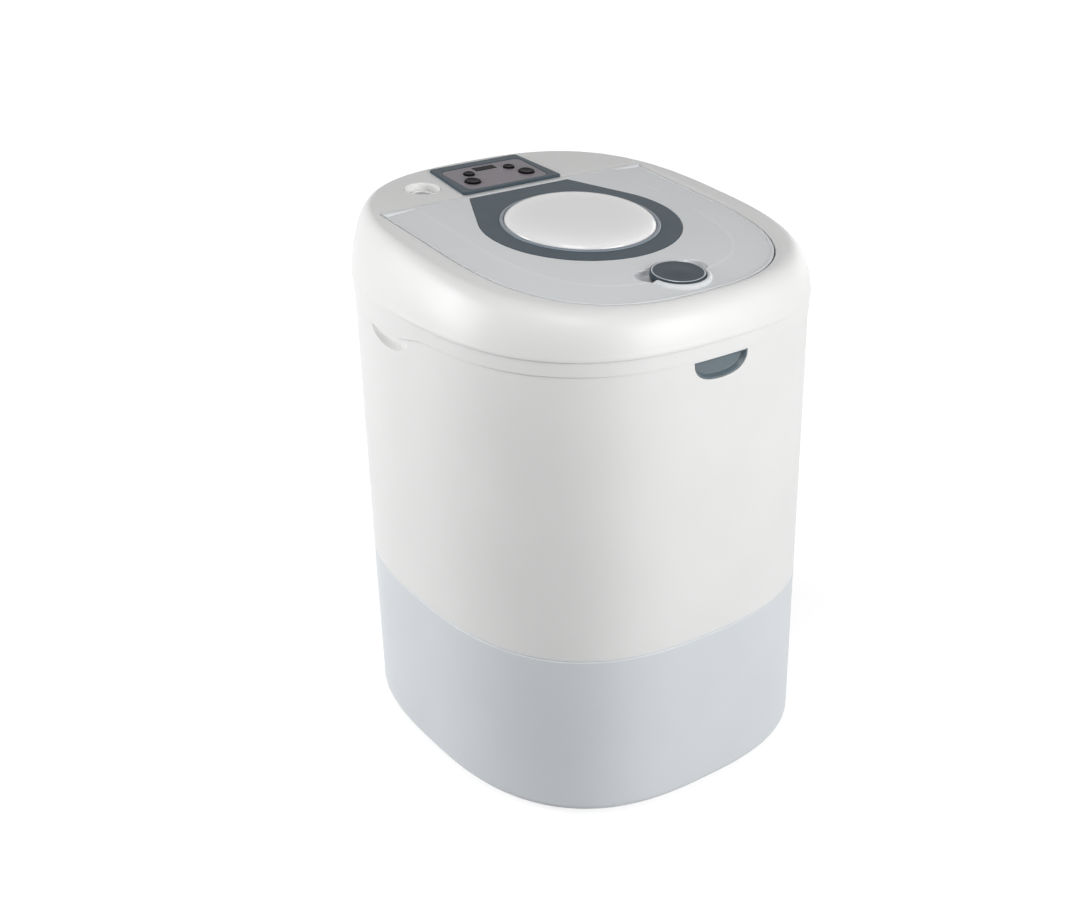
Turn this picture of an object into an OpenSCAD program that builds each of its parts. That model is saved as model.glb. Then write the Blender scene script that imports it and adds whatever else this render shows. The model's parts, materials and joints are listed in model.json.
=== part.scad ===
// Compact top-loading washing machine with a suspended tub, a wash basket,
// a pulsator driven by a V-belt, a hinged lid and a rear control panel.
// Millimetres, +Z up, front towards -Y, origin on the floor at the middle.

/* [Cabinet] */
// Width of the cabinet across its sides
body_w = 418; // [410:1:440]
// Depth of the cabinet from front to back
body_d = 464; // [456:1:490]
// Squareness of the plan at the front, 2 is an ellipse
front_square = 2.67; // [2.5:0.01:3.2]
// Squareness of the plan at the back
rear_square = 2.78; // [2.5:0.01:3.2]
// Height of the rubber feet
foot_h = 8; // [5:0.5:14]
// Radius of a rubber foot
foot_r = 16; // [12:1:20]
// Height of the seam between base and cabinet
base_top = 195; // [160:1:230]
// Radius of the rounded bottom edge
base_round = 10; // [4:1:16]
// Wall of the moulded cabinet, base and top frame
wall = 3; // [2.5:0.1:4]
// Height of the lap that joins two mouldings
lap_h = 8; // [5:1:12]

/* [Front recess and rear cover] */
// Width of the bare recess in the front wall
badge_w = 65; // [56:1:72]
// Height of the bare recess
badge_h = 21; // [16:1:26]
// Width of the service cover in the rear wall
cover_w = 236; // [200:2:250]
// Height of the service cover's lower edge above the base seam
cover_up = 22; // [16:1:40]
// Thickness of the service cover
cover_t = 1.5; // [1.2:0.1:2]
// Radius of a cover screw's thread
screw_r = 1.6; // [1.2:0.1:2]

/* [Top frame] */
// Height of the top frame from its seam to the deck
collar_h = 76; // [70:1:90]
// How far the rounded shoulder draws in at the top
shoulder_in = 25; // [20:1:28]
// How far the collar stands out from the cabinet
collar_out = 2.5; // [1.5:0.1:4]
// Height of the recessed band under the collar's step
band_h = 16.5; // [10:0.5:20]
// Rise of the deck towards the rear in degrees
deck_tilt = 5.2; // [3:0.1:7]
// Depth of the pocket that the lid lies in
pocket_depth = 16; // [16:0.5:20]
// Radius of the loading throat
throat_r = 114; // [100:1:115]

/* [Carry grips] */
// Length of a carry grip
grip_len = 152; // [120:1:160]
// How far the grip's lip hangs below the seam
grip_drop = 12; // [8:1:20]
// Depth of the finger hollow
grip_depth = 16; // [12:1:18]
// Place of the grip along the side, from the middle to the rear
grip_y = 38; // [30:1:46]

/* [Lid] */
// Width of the lid
lid_w = 330; // [326:1:336]
// Reach of the lid from its middle to the front edge
lid_front = 204; // [196:1:205]
// Squareness of the lid's front
lid_square = 2.75; // [2.5:0.01:3.2]
// Place of the hinge line behind the middle
hinge_y = 111; // [108:0.5:114]
// Radius of the hinge bead
bead_r = 5; // [4:0.5:6]
// Height of the lid's skirt
lid_h = 13.5; // [12:0.5:15]
// Width of the sloping border outside the plateau
lid_border = 38; // [30:1:45]
// Fall of the border from the plateau to the edge
lid_fall = 2.4; // [1:0.1:3]
// Radius of a hinge pin
pin_r = 3; // [2:0.1:3.5]

/* [Lid trim] */
// Radius of the white dome
dome_r = 79; // [70:0.5:84]
// Height of the dome's crown
dome_h = 9; // [5:0.5:12]
// Place of the dome's middle behind the machine's middle
dome_y = -6; // [-12:0.5:0]
// Width of the bevelled bezel round the dome
bezel_w = 4.5; // [3:0.5:6]
// Outer radius of the dark trim ring
trim_r = 105.4; // [100:0.2:110]
// Radius of the lid's push button
push_r = 27.5; // [24:0.5:30]
// Place of the push button in front of the middle
push_y = -166; // [-170:0.5:-160]
// Travel of the push button
push_travel = 2.5; // [1.5:0.1:3]

/* [Control panel] */
// Width of the control housing at its front
panel_w = 127; // [120:1:134]
// Width of the control housing at its rear
panel_rear_w = 115; // [110:1:120]
// Length of the control housing from front to back
panel_d = 84; // [80:1:88]
// How far the housing stands out of the deck
panel_up = 2.5; // [1.5:0.1:4]
// Width of the printed fascia
fascia_w = 103; // [98:1:106]
// Depth of the printed fascia
fascia_d = 64; // [60:1:68]
// Width of the display window
display_w = 31; // [24:1:36]
// Depth of the display window
display_d = 9.5; // [7:0.5:12]
// Radius of the two large buttons
key_big_r = 9; // [7:0.5:10]
// Radius of the two small buttons
key_small_r = 6.3; // [5:0.1:8]
// Travel of the panel buttons
key_travel = 1; // [0.5:0.1:1.5]

/* [Water fittings] */
// Radius of the inlet well in the deck
inlet_r = 19.7; // [18:0.1:21]
// Radius of the threaded inlet stub
inlet_stub_r = 13.2; // [12:0.1:14]
// Place of the inlet to the side of the middle
inlet_x = -91; // [-96:1:-86]
// Place of the inlet behind the middle
inlet_y = 157.5; // [152:0.5:160]
// Outer radius of the drain spigot
drain_r = 11; // [9:0.5:13]
// Height of the drain spigot above the floor
drain_z = 58; // [52:1:64]
// Distance of the drain spigot and cord gland from the cabinet's side
fitting_side = 99; // [95:1:105]
// Radius of the cord gland's bore
cord_r = 3.5; // [3:0.1:4.5]

/* [Tub and basket] */
// Outer radius of the water tub
tub_r = 172; // [168:1:174]
// Height of the water tub
tub_h = 305; // [290:1:330]
// Place of the tub's axis, in front of the middle
tub_y = -12; // [-14:0.5:-8]
// Height of the cover ring on the tub
cover_h = 12; // [10:0.5:14]
// Outer radius of the wash basket
basket_r = 150; // [146:1:154]
// Space between the tub's floor and the basket
basket_under = 22; // [18:1:26]
// Space between the balance ring and the tub's cover
basket_over = 6; // [5:0.5:10]
// Height of the balance ring
ring_h = 25; // [20:1:28]
// Inner radius of the balance ring
ring_in_r = 119; // [116:1:124]
// Radius of the pulsator
pulsator_r = 122; // [110:1:128]
// Number of vanes on the pulsator
vanes = 6; // [4:1:8]

/* [Drive] */
// Radius of the wash shaft
shaft_r = 6; // [5:0.5:7]
// Outer radius of the spin tube
spin_r = 13; // [12:0.5:14]
// Radius of the driven pulley
driven_r = 70; // [60:1:74]
// Radius of the motor pulley
motor_pulley_r = 20; // [18:0.5:24]
// Width of both pulleys
pulley_h = 14; // [12:0.5:16]
// Place of the motor beside the tub's axis
motor_x = 104; // [102:0.5:108]
// Radius of the motor
motor_r = 50; // [44:1:54]
// Height of the motor
motor_h = 72; // [64:1:74]
// Height of the bearing housing
housing_h = 80; // [76:1:90]

/* [Suspension] */
// Distance of the rods from the cabinet's side
rod_side = 59; // [57:1:64]
// Distance of the rods from the cabinet's front and back
rod_end = 72; // [70:1:78]
// Radius of a suspension rod
rod_r = 4; // [3:0.5:5]
// Free height of a spring under the tub's frame
spring_h = 36; // [30:1:40]
// Travel of the tub up and down
tub_travel = 3; // [2:0.5:4]

/* [Clearances] */
// Gap between pieces that move past each other
gap = 0.3; // [0.25:0.05:0.5]
// Radial play of a running fit
run = 0.06; // [0.02:0.01:0.09]
// Gap round the lid in its pocket
lid_gap = 1.2; // [0.8:0.1:1.6]

/* [Hidden] */
$fn = 64;
plan_n = 72;
half_w = body_w / 2;
half_d = body_d / 2;
under_pulley = 38;
deck_rise = 109;
pulley_z = foot_h + under_pulley;
shaft_z = pulley_z - 4;
unit_z = pulley_z + pulley_h + 4;
frame_t = 6;
lap_t = 2;
frame_z = unit_z + housing_h;
tub_z = frame_z + frame_t;
tub_top = tub_z + tub_h;
cover_z = tub_top + cover_h;
throat_z = cover_z + tub_travel + 8;
deck_z = cover_z + deck_rise;
collar_z = deck_z - collar_h;
step_z = collar_z + band_h;
band_out = 0.8;
slope = tan(deck_tilt);
rear_x = half_w - fitting_side;
rod_x = half_w - rod_side;
rod_y = half_d - rod_end;
rod_plate_z = collar_z - 30;
rod_foot_z = frame_z - spring_h;
basket_z = tub_z + basket_under;
basket_h = tub_h - basket_under - basket_over - ring_h;
basket_wall = 2.5;
basket_top = basket_z + basket_h;
bead_z = 1 - bead_r;
lid_cy = -2;
pocket_rear = hinge_y + bead_r + 0.5;
lid_rear_x = lid_w / 2;
skin = 2.6;
well_floor = -5;
plate_up = 0.8;
fascia_t = 1.2;
panel_y = hinge_y + bead_r + 1.4;
fascia_y = panel_y + 7;
key_rim = 1.5;
board_z = -10;
key_big_x = 35;
key_big_y = fascia_y + 21;
key_small_x = 26;
key_small_y = fascia_y + 43;
display_y = fascia_y + 50;
niche_y = half_d - 27;
niche_w = 44;
niche_h = 56;
foot_x = half_w - 68;
foot_y = half_d - 78;
badge_z = collar_z - 2;
cover_low = base_top + cover_up;
cover_high = collar_z - 46;
screw_x = cover_w / 2 - 6;
screw_places = [for (sx = [-1, 1], z = [cover_low + 6, (cover_low + cover_high) / 2, cover_high - 6])
    [sx * screw_x, z]];
pin_x = lid_w / 2 - 12;
pin_len = 21;
stem_r = 8;
hollow_r = 12.5;
hollow_x = push_r * 0.93;
hollow_y = push_y + 10;
hollow_depth = 7.5;
bearing_r = 24;
bearing_h = 12;
ear_r = 16;
motor_z = frame_z - motor_h;
drain_valve_x = -rear_x;
hose_r = drain_r + 3;
hose_z = frame_z - 27;

white = [0.90, 0.91, 0.90];
lid_white = [0.84, 0.85, 0.86];
base_grey = [0.80, 0.82, 0.84];
slate = [0.33, 0.39, 0.43];
pearl = [0.93, 0.92, 0.91];
mauve = [0.57, 0.54, 0.56];
black = [0.10, 0.10, 0.11];
steel = [0.70, 0.71, 0.73];
zinc = [0.62, 0.64, 0.66];
plastic = [0.86, 0.87, 0.88];
rubber = [0.16, 0.16, 0.17];
aluminium = [0.75, 0.76, 0.78];
green = [0.16, 0.38, 0.26];

// Distance from the middle to a rounded square's edge in one direction.
function reach(a, b, e, t) =
    1 / pow(pow(abs(cos(t)) / a, e) + pow(abs(sin(t)) / b, e), 1 / e);

// Plan outline of the cabinet, drawn in by off.
function plan(off) = [for (i = [0:plan_n - 1])
    let (t = 360 * i / plan_n,
         e = sin(t) < 0 ? front_square : rear_square,
         r = reach(half_w - off, half_d - off, e, t))
    [r * cos(t), r * sin(t)]];

// A plan outline as a ring in space, tilted by a share of the deck's slope.
function ring_at(p, z, share) = [for (q = p) [q[0], q[1], z + share * slope * q[1]]];

// Ring of the top frame's shoulder at angle t, inside the surface by off.
function shoulder(t, off) = ring_at(
    plan(off - collar_out + shoulder_in * (1 - cos(t))),
    collar_z + (collar_h - off) * sin(t), pow(sin(t), 2));

// Depth of the rear or front face at a distance from the middle.
function rear_depth(x, off = 0) =
    (half_d - off) * pow(1 - pow(abs(x) / (half_w - off), rear_square), 1 / rear_square);
function rear_turn(x) = atan(pow(abs(x) / half_w, rear_square - 1) / half_w
    / (pow(rear_depth(x) / half_d, rear_square - 1) / half_d)) * sign(x);

// Outline of the lid, drawn in by off, closed straight along y = rear.
function lid_plan(off, rear) = concat(
    [for (i = [0:32])
        let (t = 180 + 180 * i / 32,
             r = reach(lid_w / 2 - off, lid_front - off, lid_square, t))
        [r * cos(t), lid_cy + r * sin(t)]],
    [[lid_rear_x - off, rear], [off - lid_rear_x, rear]]);

// Closed body through rings that have equally many points.
module loft(rings) {
    n = len(rings[0]);
    m = len(rings);
    points = [for (ring = rings) each ring];
    sides = [for (j = [0:m - 2], i = [0:n - 1])
        let (a = j * n + i, b = j * n + (i + 1) % n)
        each [[a, a + n, b + n], [a, b + n, b]]];
    bottom = [for (i = [0:n - 1]) i];
    top = [for (i = [n - 1:-1:0]) (m - 1) * n + i];
    polyhedron(points, concat(sides, [bottom, top]));
}

module prism(points, z0, z1) {
    translate([0, 0, z0])
        linear_extrude(z1 - z0)
            polygon(points);
}

module tube(r_out, r_in, h) {
    difference() {
        cylinder(r = r_out, h = h);
        translate([0, 0, -1])
            cylinder(r = r_in, h = h + 2);
    }
}

module box(size, at = [0, 0, 0]) {
    translate([at[0] - size[0] / 2, at[1] - size[1] / 2, at[2]])
        cube(size);
}

module on_deck() {
    translate([0, 0, deck_z])
        rotate([deck_tilt, 0, 0])
            children();
}

module at_tub() {
    translate([0, tub_y, 0])
        children();
}

module four_corners() {
    for (sx = [-1, 1], sy = [-1, 1])
        translate([sx * rod_x, sy * rod_y, 0])
            children();
}

// Straight strip of the given width from one plan point to another.
module strip(from, to, w) {
    d = to - from;
    translate(from)
        rotate(atan2(d[1], d[0]))
            translate([0, -w / 2])
                square([norm(d), w]);
}

// Rings of the base's rounded bottom edge, inside the surface by off.
function base_edge(off) = [for (t = [0:30:90])
    ring_at(plan(off + base_round * (1 - sin(t))),
        foot_h + off + base_round * (1 - cos(t)), 0)];

// Rings from the outside over the base's rim and its lap down to the inside.
function base_rim() =
    let (lap = wall + gap)
    [ring_at(plan(0), base_top - 1.6, 0), ring_at(plan(1), base_top - 0.8, 0),
     ring_at(plan(1), base_top, 0), ring_at(plan(lap), base_top, 0),
     ring_at(plan(lap), base_top + lap_h, 0), ring_at(plan(lap + lap_t), base_top + lap_h, 0),
     ring_at(plan(lap + lap_t), base_top - lap_h, 0), ring_at(plan(wall), base_top - lap_h - 3, 0)];

function reversed(list) = [for (i = [len(list) - 1:-1:0]) list[i]];

// Base tray with rounded bottom edge, foot sockets and two rear fitting niches.
module base_shell() {
    color(base_grey)
        difference() {
            union() {
                loft(concat(base_edge(0), base_rim(), reversed(base_edge(wall))));
                for (sx = [-1, 1], sy = [-1, 1])
                    translate([sx * foot_x, sy * foot_y, foot_h])
                        cylinder(r = foot_r - 4, h = 10);
            }
            recess_boxes(wall + gap);
            at_tub()
                translate([0, 0, foot_h - 1])
                    cylinder(r = driven_r + 14, h = wall + 2);
            for (sx = [-1, 1], sy = [-1, 1])
                translate([sx * foot_x, sy * foot_y, foot_h - 1])
                    cylinder(r = 5, h = 9);
        }
}

// Boxes of the two rear recesses, grown on every side but the open one.
module recess_boxes(grow) {
    for (sx = [-1, 1])
        box([niche_w + 2 * grow, 80, niche_h + 2 * grow],
            [sx * rear_x, niche_y + 40 - grow, drain_z - niche_h / 2 - grow]);
}

// Recess boxes in the base's rear wall that carry the spigot and the gland.
module rear_recesses() {
    color(base_grey)
        difference() {
            intersection() {
                recess_boxes(wall);
                prism(plan(0.4), foot_h + wall, base_top);
            }
            recess_boxes(0);
            translate([-rear_x, niche_y + 1, drain_z])
                rotate([90, 0, 0])
                    cylinder(r = drain_r, h = wall + 2);
            translate([rear_x, niche_y + 1, drain_z])
                rotate([90, 0, 0])
                    cylinder(r = cord_r + 3.5, h = wall + 2);
        }
}

// Four rubber feet, each with a stem pressed into its socket.
module rubber_feet() {
    color(rubber)
        for (sx = [-1, 1], sy = [-1, 1])
            translate([sx * foot_x, sy * foot_y, 0])
                rotate_extrude()
                    polygon([[0, 0], [foot_r - 3, 0], [foot_r, 3], [foot_r, foot_h],
                        [5, foot_h], [5, foot_h + 7], [0, foot_h + 7]]);
}

// Outline of the front recess: straight above, a blunt boat shape below.
function boat(w, h, off) = concat(
    [for (i = [0:20])
        let (t = 180 + 180 * i / 20, r = reach(w / 2 - off, h - off, 2.4, t))
        [r * cos(t), min(r * sin(t), -max(off, 0))]],
    off < 0 ? [[w / 2 - off, -off], [off - w / 2, -off]] : []);

// Boat-shaped prism standing through the front wall between two depths.
module badge_prism(off, y0, y1) {
    translate([0, y1, badge_z])
        rotate([90, 0, 0])
            linear_extrude(y1 - y0)
                polygon(boat(badge_w, badge_h, off));
}

// Spindle-shaped finger scoop in each side wall, larger by off, up to z1.
module grip_scoops(off, z1) {
    axis_out = 8;
    r = grip_depth + axis_out + off;
    half = grip_len / 2 - 28 + off;
    arc = (half * half + r * r) / (2 * r);
    intersection() {
        for (sx = [-1, 1])
            translate([sx * (half_w + axis_out), grip_y, collar_z - 12])
                rotate([90, 0, 0])
                    rotate_extrude()
                        polygon(concat([[0, -half]],
                            [for (i = [1:11])
                                let (y = half * (i / 6 - 1))
                                [sqrt(arc * arc - y * y) - arc + r, y]],
                            [[0, half]]));
        box([body_w + 40, body_d, 100], [0, 0, z1 - 100]);
    }
}

// Cabinet wall with the rear service opening, front recess and grip hollows.
module cabinet_shell() {
    color(white)
        difference() {
            union() {
                difference() {
                    prism(plan(0), base_top, collar_z);
                    prism(plan(wall), base_top - 1, collar_z + 1);
                }
                intersection() {
                    grip_scoops(2, collar_z - lap_h - 1);
                    prism(plan(1), collar_z - 60, collar_z);
                }
            }
            grip_scoops(0, collar_z - lap_h - 3);
            badge_prism(-gap, -half_d - 5, -half_d + wall + 10);
            intersection() {
                difference() {
                    prism(plan(-2), cover_low, cover_high);
                    prism(plan(cover_t), cover_low - 1, cover_high + 1);
                }
                box([cover_w, 200, cover_high - cover_low], [0, half_d, cover_low]);
            }
            box([cover_w - 24, 120, cover_high - cover_low - 24],
                [0, half_d, cover_low + 12]);
            for (p = screw_places)
                at_rear(p)
                    translate([0, 0, -12])
                        cylinder(r = screw_r, h = 20);
        }
}

// Stands children on the rear face, their +Z along its outward normal.
module at_rear(p) {
    translate([p[0], rear_depth(p[0]), p[1]])
        rotate([-90, 0, -rear_turn(p[0])])
            children();
}

// Curved service cover with a raised field and rows of vent slots.
module rear_cover() {
    vents = 7;
    color(white)
        difference() {
            intersection() {
                difference() {
                    prism(plan(0), cover_low + gap, cover_high - gap);
                    prism(plan(cover_t), cover_low, cover_high);
                }
                box([cover_w - 2 * gap, 200, cover_high - cover_low], [0, half_d, cover_low]);
            }
            for (i = [0:vents - 1], sx = [-1, 0, 1])
                box([44, 60, 4], [sx * 60, half_d, cover_low + 40 + 11 * i]);
            for (p = screw_places)
                at_rear(p)
                    translate([0, 0, -12])
                        cylinder(r = screw_r, h = 20);
        }
}

// Six pan-head screws that hold the service cover.
module rear_screws() {
    color(zinc)
        for (p = screw_places)
            at_rear(p)
                translate([0, 0, -5])
                    rotate_extrude()
                        polygon([[0, 0], [screw_r, 0], [screw_r, 5], [screw_r + 2, 5],
                            [screw_r + 1.6, 6.6], [screw_r, 7], [0, 7]]);
}

// Blunt dark tray let into the front wall, left bare.
module front_badge() {
    color(slate)
        difference() {
            union() {
                badge_prism(0, -half_d + 0.9, -half_d + 7);
                badge_prism(-3, -half_d + wall + 1.4, -half_d + wall + 3);
            }
            box([badge_w + 20, 40, 20], [0, -half_d, collar_z - gap]);
            badge_prism(1.4, -half_d - 1, -half_d + 5);
        }
}

// Shell of the top frame before the openings are cut.
module collar_shell() {
    step_t = asin(band_h / collar_h);
    difference() {
        loft(concat(
            [ring_at(plan(-band_out), collar_z, 0),
             ring_at(plan(-band_out), step_z - 1.2, 0)],
            [for (i = [0:7])
                shoulder(step_t + (90 - step_t) * i / 7, 0)]));
        collar_inside(wall);
    }
}

// Space inside the top frame, inside its surface by off.
module collar_inside(off) {
    loft(concat(
        [ring_at(plan(off - band_out), collar_z - 1, 0)],
        [for (i = [1:5])
            shoulder(90 * i / 5, off)]));
}

// Lip of a carry grip: the collar's edge drops in a shallow curve.
module grip_lips() {
    lip = concat(
        [for (i = [-12:12])
            [grip_y + grip_len / 2 * i / 12, collar_z + 1 - (grip_drop + 1) * pow(cos(7.5 * i), 1.4)]],
        [[grip_y + grip_len / 2, step_z + 2], [grip_y - grip_len / 2, step_z + 2]]);
    intersection() {
        difference() {
            prism(plan(-collar_out), collar_z - 40, collar_z + 40);
            prism(plan(-gap), collar_z - 41, collar_z + 41);
        }
        translate([-half_w - 10, 0, 0])
            rotate([90, 0, 90])
                linear_extrude(body_w + 20)
                    polygon(lip);
    }
}

// Top frame: rounded shoulder, deck and grip lips.
module top_frame() {
    color(white)
        difference() {
            union() {
                collar_shell();
                grip_lips();
                difference() {
                    prism(plan(wall + gap), collar_z - lap_h, collar_z + 2);
                    prism(plan(wall + gap + lap_t), collar_z - lap_h - 1, collar_z + 3);
                    box([badge_w + 14, 40, 30], [0, -half_d, collar_z - 20]);
                }
                difference() {
                    prism(plan(wall - band_out - 1), collar_z, collar_z + 3);
                    prism(plan(wall + gap + lap_t), collar_z - 1, collar_z + 4);
                }
            }
            pocket_space();
            pin_bores();
            on_deck() {
                box([fascia_w - 3, panel_d - 12, 30], [0, panel_y + panel_d / 2, -20]);
                translate([inlet_x, inlet_y, -20])
                    cylinder(r = inlet_r, h = 30);
            }
        }
}

// Space of the pocket that the lid lies in.
module pocket_space() {
    on_deck()
        prism(lid_plan(-lid_gap, pocket_rear), -pocket_depth, 10);
}

module pin_bores() {
    on_deck()
        for (sx = [-1, 1])
            translate([sx * pin_x, hinge_y, bead_z])
                rotate([0, 90 * sx, 0])
                    cylinder(r = pin_r, h = pin_len);
}

// Tray under the lid with its hinge ears, held up against the deck.
module lid_well() {
    color(white)
        difference() {
            intersection() {
                on_deck() {
                    prism(lid_plan(-lid_gap - wall, pocket_rear + wall),
                        -pocket_depth - wall, -1);
                    for (sx = [-1, 1])
                        box([8, 16, 11], [sx * (lid_rear_x + lid_gap + 4.5), hinge_y, -12]);
                }
                collar_inside(wall + gap);
            }
            pocket_space();
            pin_bores();
            throat_space();
        }
}

// Round way down to the basket.
module throat_space() {
    at_tub()
        translate([0, 0, throat_z - 1])
            cylinder(r = throat_r, h = 120);
}

// Splash ring that hangs from the tray and leads laundry into the basket.
module splash_ring() {
    color(white)
        difference() {
            at_tub()
                difference() {
                    translate([0, 0, throat_z])
                        cylinder(r = throat_r + wall, h = deck_z - throat_z - 8);
                    on_tub_deck()
                        translate([-200, -200, -pocket_depth - wall])
                            cube([400, 400, 60]);
                }
            throat_space();
            fill_spout_path()
                cylinder(r = 7 + gap, h = 40);
        }
}

// The deck's frame, seen from the tub's axis.
module on_tub_deck() {
    translate([0, -tub_y, 0])
        on_deck()
            children();
}

// Stands children where the fill spout crosses the throat wall.
module fill_spout_path() {
    dir = [-inlet_x, tub_y - inlet_y];
    reach_in = norm(dir) - throat_r;
    translate([inlet_x, inlet_y, deck_z - 28])
        rotate([0, 90, atan2(dir[1], dir[0])])
            translate([0, 0, reach_in - 20])
                children();
}

// Plan of the control housing with rounded corners, drawn in by off.
function panel_plan(off, r = 4) =
    let (a = panel_w / 2 - off - r, b = panel_rear_w / 2 - off - r,
         y0 = panel_y + off + r, y1 = panel_y + panel_d - off - r,
         corners = [[-a, y0, 180], [a, y0, 270], [b, y1, 0], [-b, y1, 90]])
    [for (c = corners, i = [0:4])
        [c[0] + r * cos(c[2] + 22.5 * i), c[1] + r * sin(c[2] + 22.5 * i)]];

// Rounded rectangle in plan for the fascia and its seat.
function fascia_plan(off, r = 8) =
    let (a = fascia_w / 2 - off - r, y0 = fascia_y + off + r,
         y1 = fascia_y + fascia_d - off - r,
         corners = [[-a, y0, 180], [a, y0, 270], [a, y1, 0], [-a, y1, 90]])
    [for (c = corners, i = [0:6])
        [c[0] + r * cos(c[2] + 15 * i), c[1] + r * sin(c[2] + 15 * i)]];

keys = [[-key_big_x, key_big_y, key_big_r], [key_big_x, key_big_y, key_big_r],
    [-key_small_x, key_small_y, key_small_r], [key_small_x, key_small_y, key_small_r]];

// Slate housing on the rear deck, a shallow box with holes for the buttons.
module control_housing() {
    box_w = fascia_w - 3 - 2 * gap;
    box_d = panel_d - 12 - 2 * gap;
    middle = panel_y + panel_d / 2;
    color(slate)
        on_deck()
            difference() {
                union() {
                    loft([for (s = [[0, 0], [0, panel_up - 1], [0.5, panel_up - 0.3], [1.2, panel_up]])
                        ring_at(panel_plan(s[0]), s[1], 0)]);
                    box([box_w, box_d, 20], [0, middle, -19.5]);
                }
                box([box_w - 4, box_d - 4, 18], [0, middle, -20.5]);
                prism(fascia_plan(-0.2), plate_up, panel_up + 1);
                for (k = keys)
                    translate([k[0], k[1], -4])
                        cylinder(r = k[2] + gap, h = 6);
                box([display_w - 3, display_d - 2, 6], [0, display_y + 1, -4]);
            }
}

// Printed fascia plate, bare of lettering.
module fascia() {
    color(mauve)
        on_deck()
            difference() {
                prism(fascia_plan(0), plate_up, plate_up + fascia_t);
                for (k = keys)
                    translate([k[0], k[1], -4])
                        cylinder(r = k[2] + gap, h = 10);
                box([display_w, display_d, 10], [0, display_y, -1]);
            }
}

module display_window() {
    color(black)
        on_deck()
            box([display_w - 0.1, display_d - 0.1, fascia_t + 0.2], [0, display_y, plate_up]);
}

// Circuit board on four posts with switches and the display module.
module control_board() {
    color(green)
        on_deck() {
            box([88, 58, 1.6], [0, fascia_y + 33, board_z]);
            for (sx = [-1, 1], y = [fascia_y + 7, fascia_y + 58])
                translate([sx * 41, y, board_z + 1])
                    cylinder(r = 2.5, h = -2.5 - board_z - 1);
            for (k = keys)
                box([6, 6, 1.6], [k[0], k[1], board_z + 1]);
            box([display_w - 6, display_d - 3, plate_up - board_z - 1.2],
                [0, display_y + 1, board_z + 1]);
            box([24, 14, 6], [0, fascia_y + 20, board_z - 6]);
        }
}

// Round button: crowned cap, retaining flange and switch stem.
module key_cap(k) {
    flange_z = -2.5 - gap;
    color(black)
        on_deck()
            translate([k[0], k[1], 0])
                rotate_extrude()
                    polygon([[0, board_z + 2.6 + key_travel + gap], [2, board_z + 2.6 + key_travel + gap],
                        [2, flange_z - 1.2], [k[2] + key_rim, flange_z - 1.2],
                        [k[2] + key_rim, flange_z], [k[2], flange_z],
                        [k[2], panel_up + 0.9], [k[2] - 0.7, panel_up + 1.4],
                        [k[2] * 0.5, panel_up + 1.2], [0, panel_up + 1.1]]);
}

module power_button() {
    key_cap(keys[0]);
}

module start_button() {
    key_cap(keys[1]);
}

module program_button() {
    key_cap(keys[2]);
}

module level_button() {
    key_cap(keys[3]);
}

// Inlet cup in the deck with its threaded stub.
module inlet_fitting() {
    color(white)
        on_deck()
            translate([inlet_x, inlet_y, 0])
                difference() {
                    union() {
                        translate([0, 0, -24])
                            tube(inlet_r, inlet_r - 2, 23.8);
                        translate([0, 0, -24])
                            cylinder(r = inlet_r, h = 2);
                        translate([0, 0, -24])
                            cylinder(r = inlet_stub_r, h = 18);
                    }
                    translate([0, 0, -25])
                        cylinder(r = 8, h = 30);
                    translate([0, 0, -9])
                        cylinder(r = 10, h = 6);
                }
}

// Domed mesh strainer in the mouth of the inlet.
module inlet_filter() {
    color(white)
        on_deck()
            translate([inlet_x, inlet_y, -9])
                rotate_extrude()
                    polygon([[0, 1], [9.9, 0], [9.9, 1.6], [6, 2.3], [0, 2.6]]);
}

// Solenoid valve under the inlet with its fill spout.
module inlet_valve() {
    color(plastic) {
        on_deck()
            translate([inlet_x, inlet_y, 0])
                difference() {
                    union() {
                        translate([0, 0, -44])
                            cylinder(r = 16, h = 20);
                        translate([0, 0, -34])
                            rotate([0, 90, 0])
                                cylinder(r = 9, h = 34);
                        translate([20, 0, -34])
                            rotate([0, 90, 0])
                                cylinder(r = 14, h = 16);
                    }
                    translate([0, 0, -36])
                        cylinder(r = 8, h = 13);
                }
        fill_spout_path()
            translate([0, 0, -50])
                tube(7, 5, 74);
    }
}

// Relief gland for the mains lead, lead left out.
module cord_gland() {
    color(rubber)
        translate([rear_x, niche_y, drain_z])
            rotate([-90, 0, 0])
                difference() {
                    rotate_extrude()
                        polygon([[0, -wall - 3], [cord_r + 5.5, -wall - 3], [cord_r + 5.5, -wall],
                            [cord_r + 3.5, -wall], [cord_r + 3.5, 0], [cord_r + 6.5, 0],
                            [cord_r + 6.5, 2.5], [cord_r + 4, 4], [cord_r + 2, 16], [0, 16]]);
                    translate([0, 0, -wall - 4])
                        cylinder(r = cord_r, h = wall + 24);
                }
}

// Drain spigot: flange and barb outside, upright stub inside.
module drain_outlet() {
    elbow_y = -wall - 22;
    color(plastic)
        translate([-rear_x, niche_y, drain_z])
            difference() {
                union() {
                    rotate([-90, 0, 0])
                        translate([0, 0, elbow_y])
                            cylinder(r = drain_r, h = 26 - elbow_y);
                    rotate([-90, 0, 0])
                        cylinder(r = drain_r + 5, h = 2.5);
                    rotate([-90, 0, 0])
                        translate([0, 0, -wall - 2.5])
                            cylinder(r = drain_r + 5, h = 2.5);
                    translate([0, elbow_y, 0])
                        sphere(r = drain_r);
                    translate([0, elbow_y, 0])
                        cylinder(r = drain_r, h = 36);
                }
                rotate([-90, 0, 0])
                    translate([0, 0, elbow_y])
                        cylinder(r = drain_r - 2, h = 60);
                translate([0, elbow_y, 0])
                    sphere(r = drain_r - 2);
                translate([0, elbow_y, 0])
                    cylinder(r = drain_r - 2, h = 40);
            }
}

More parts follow.
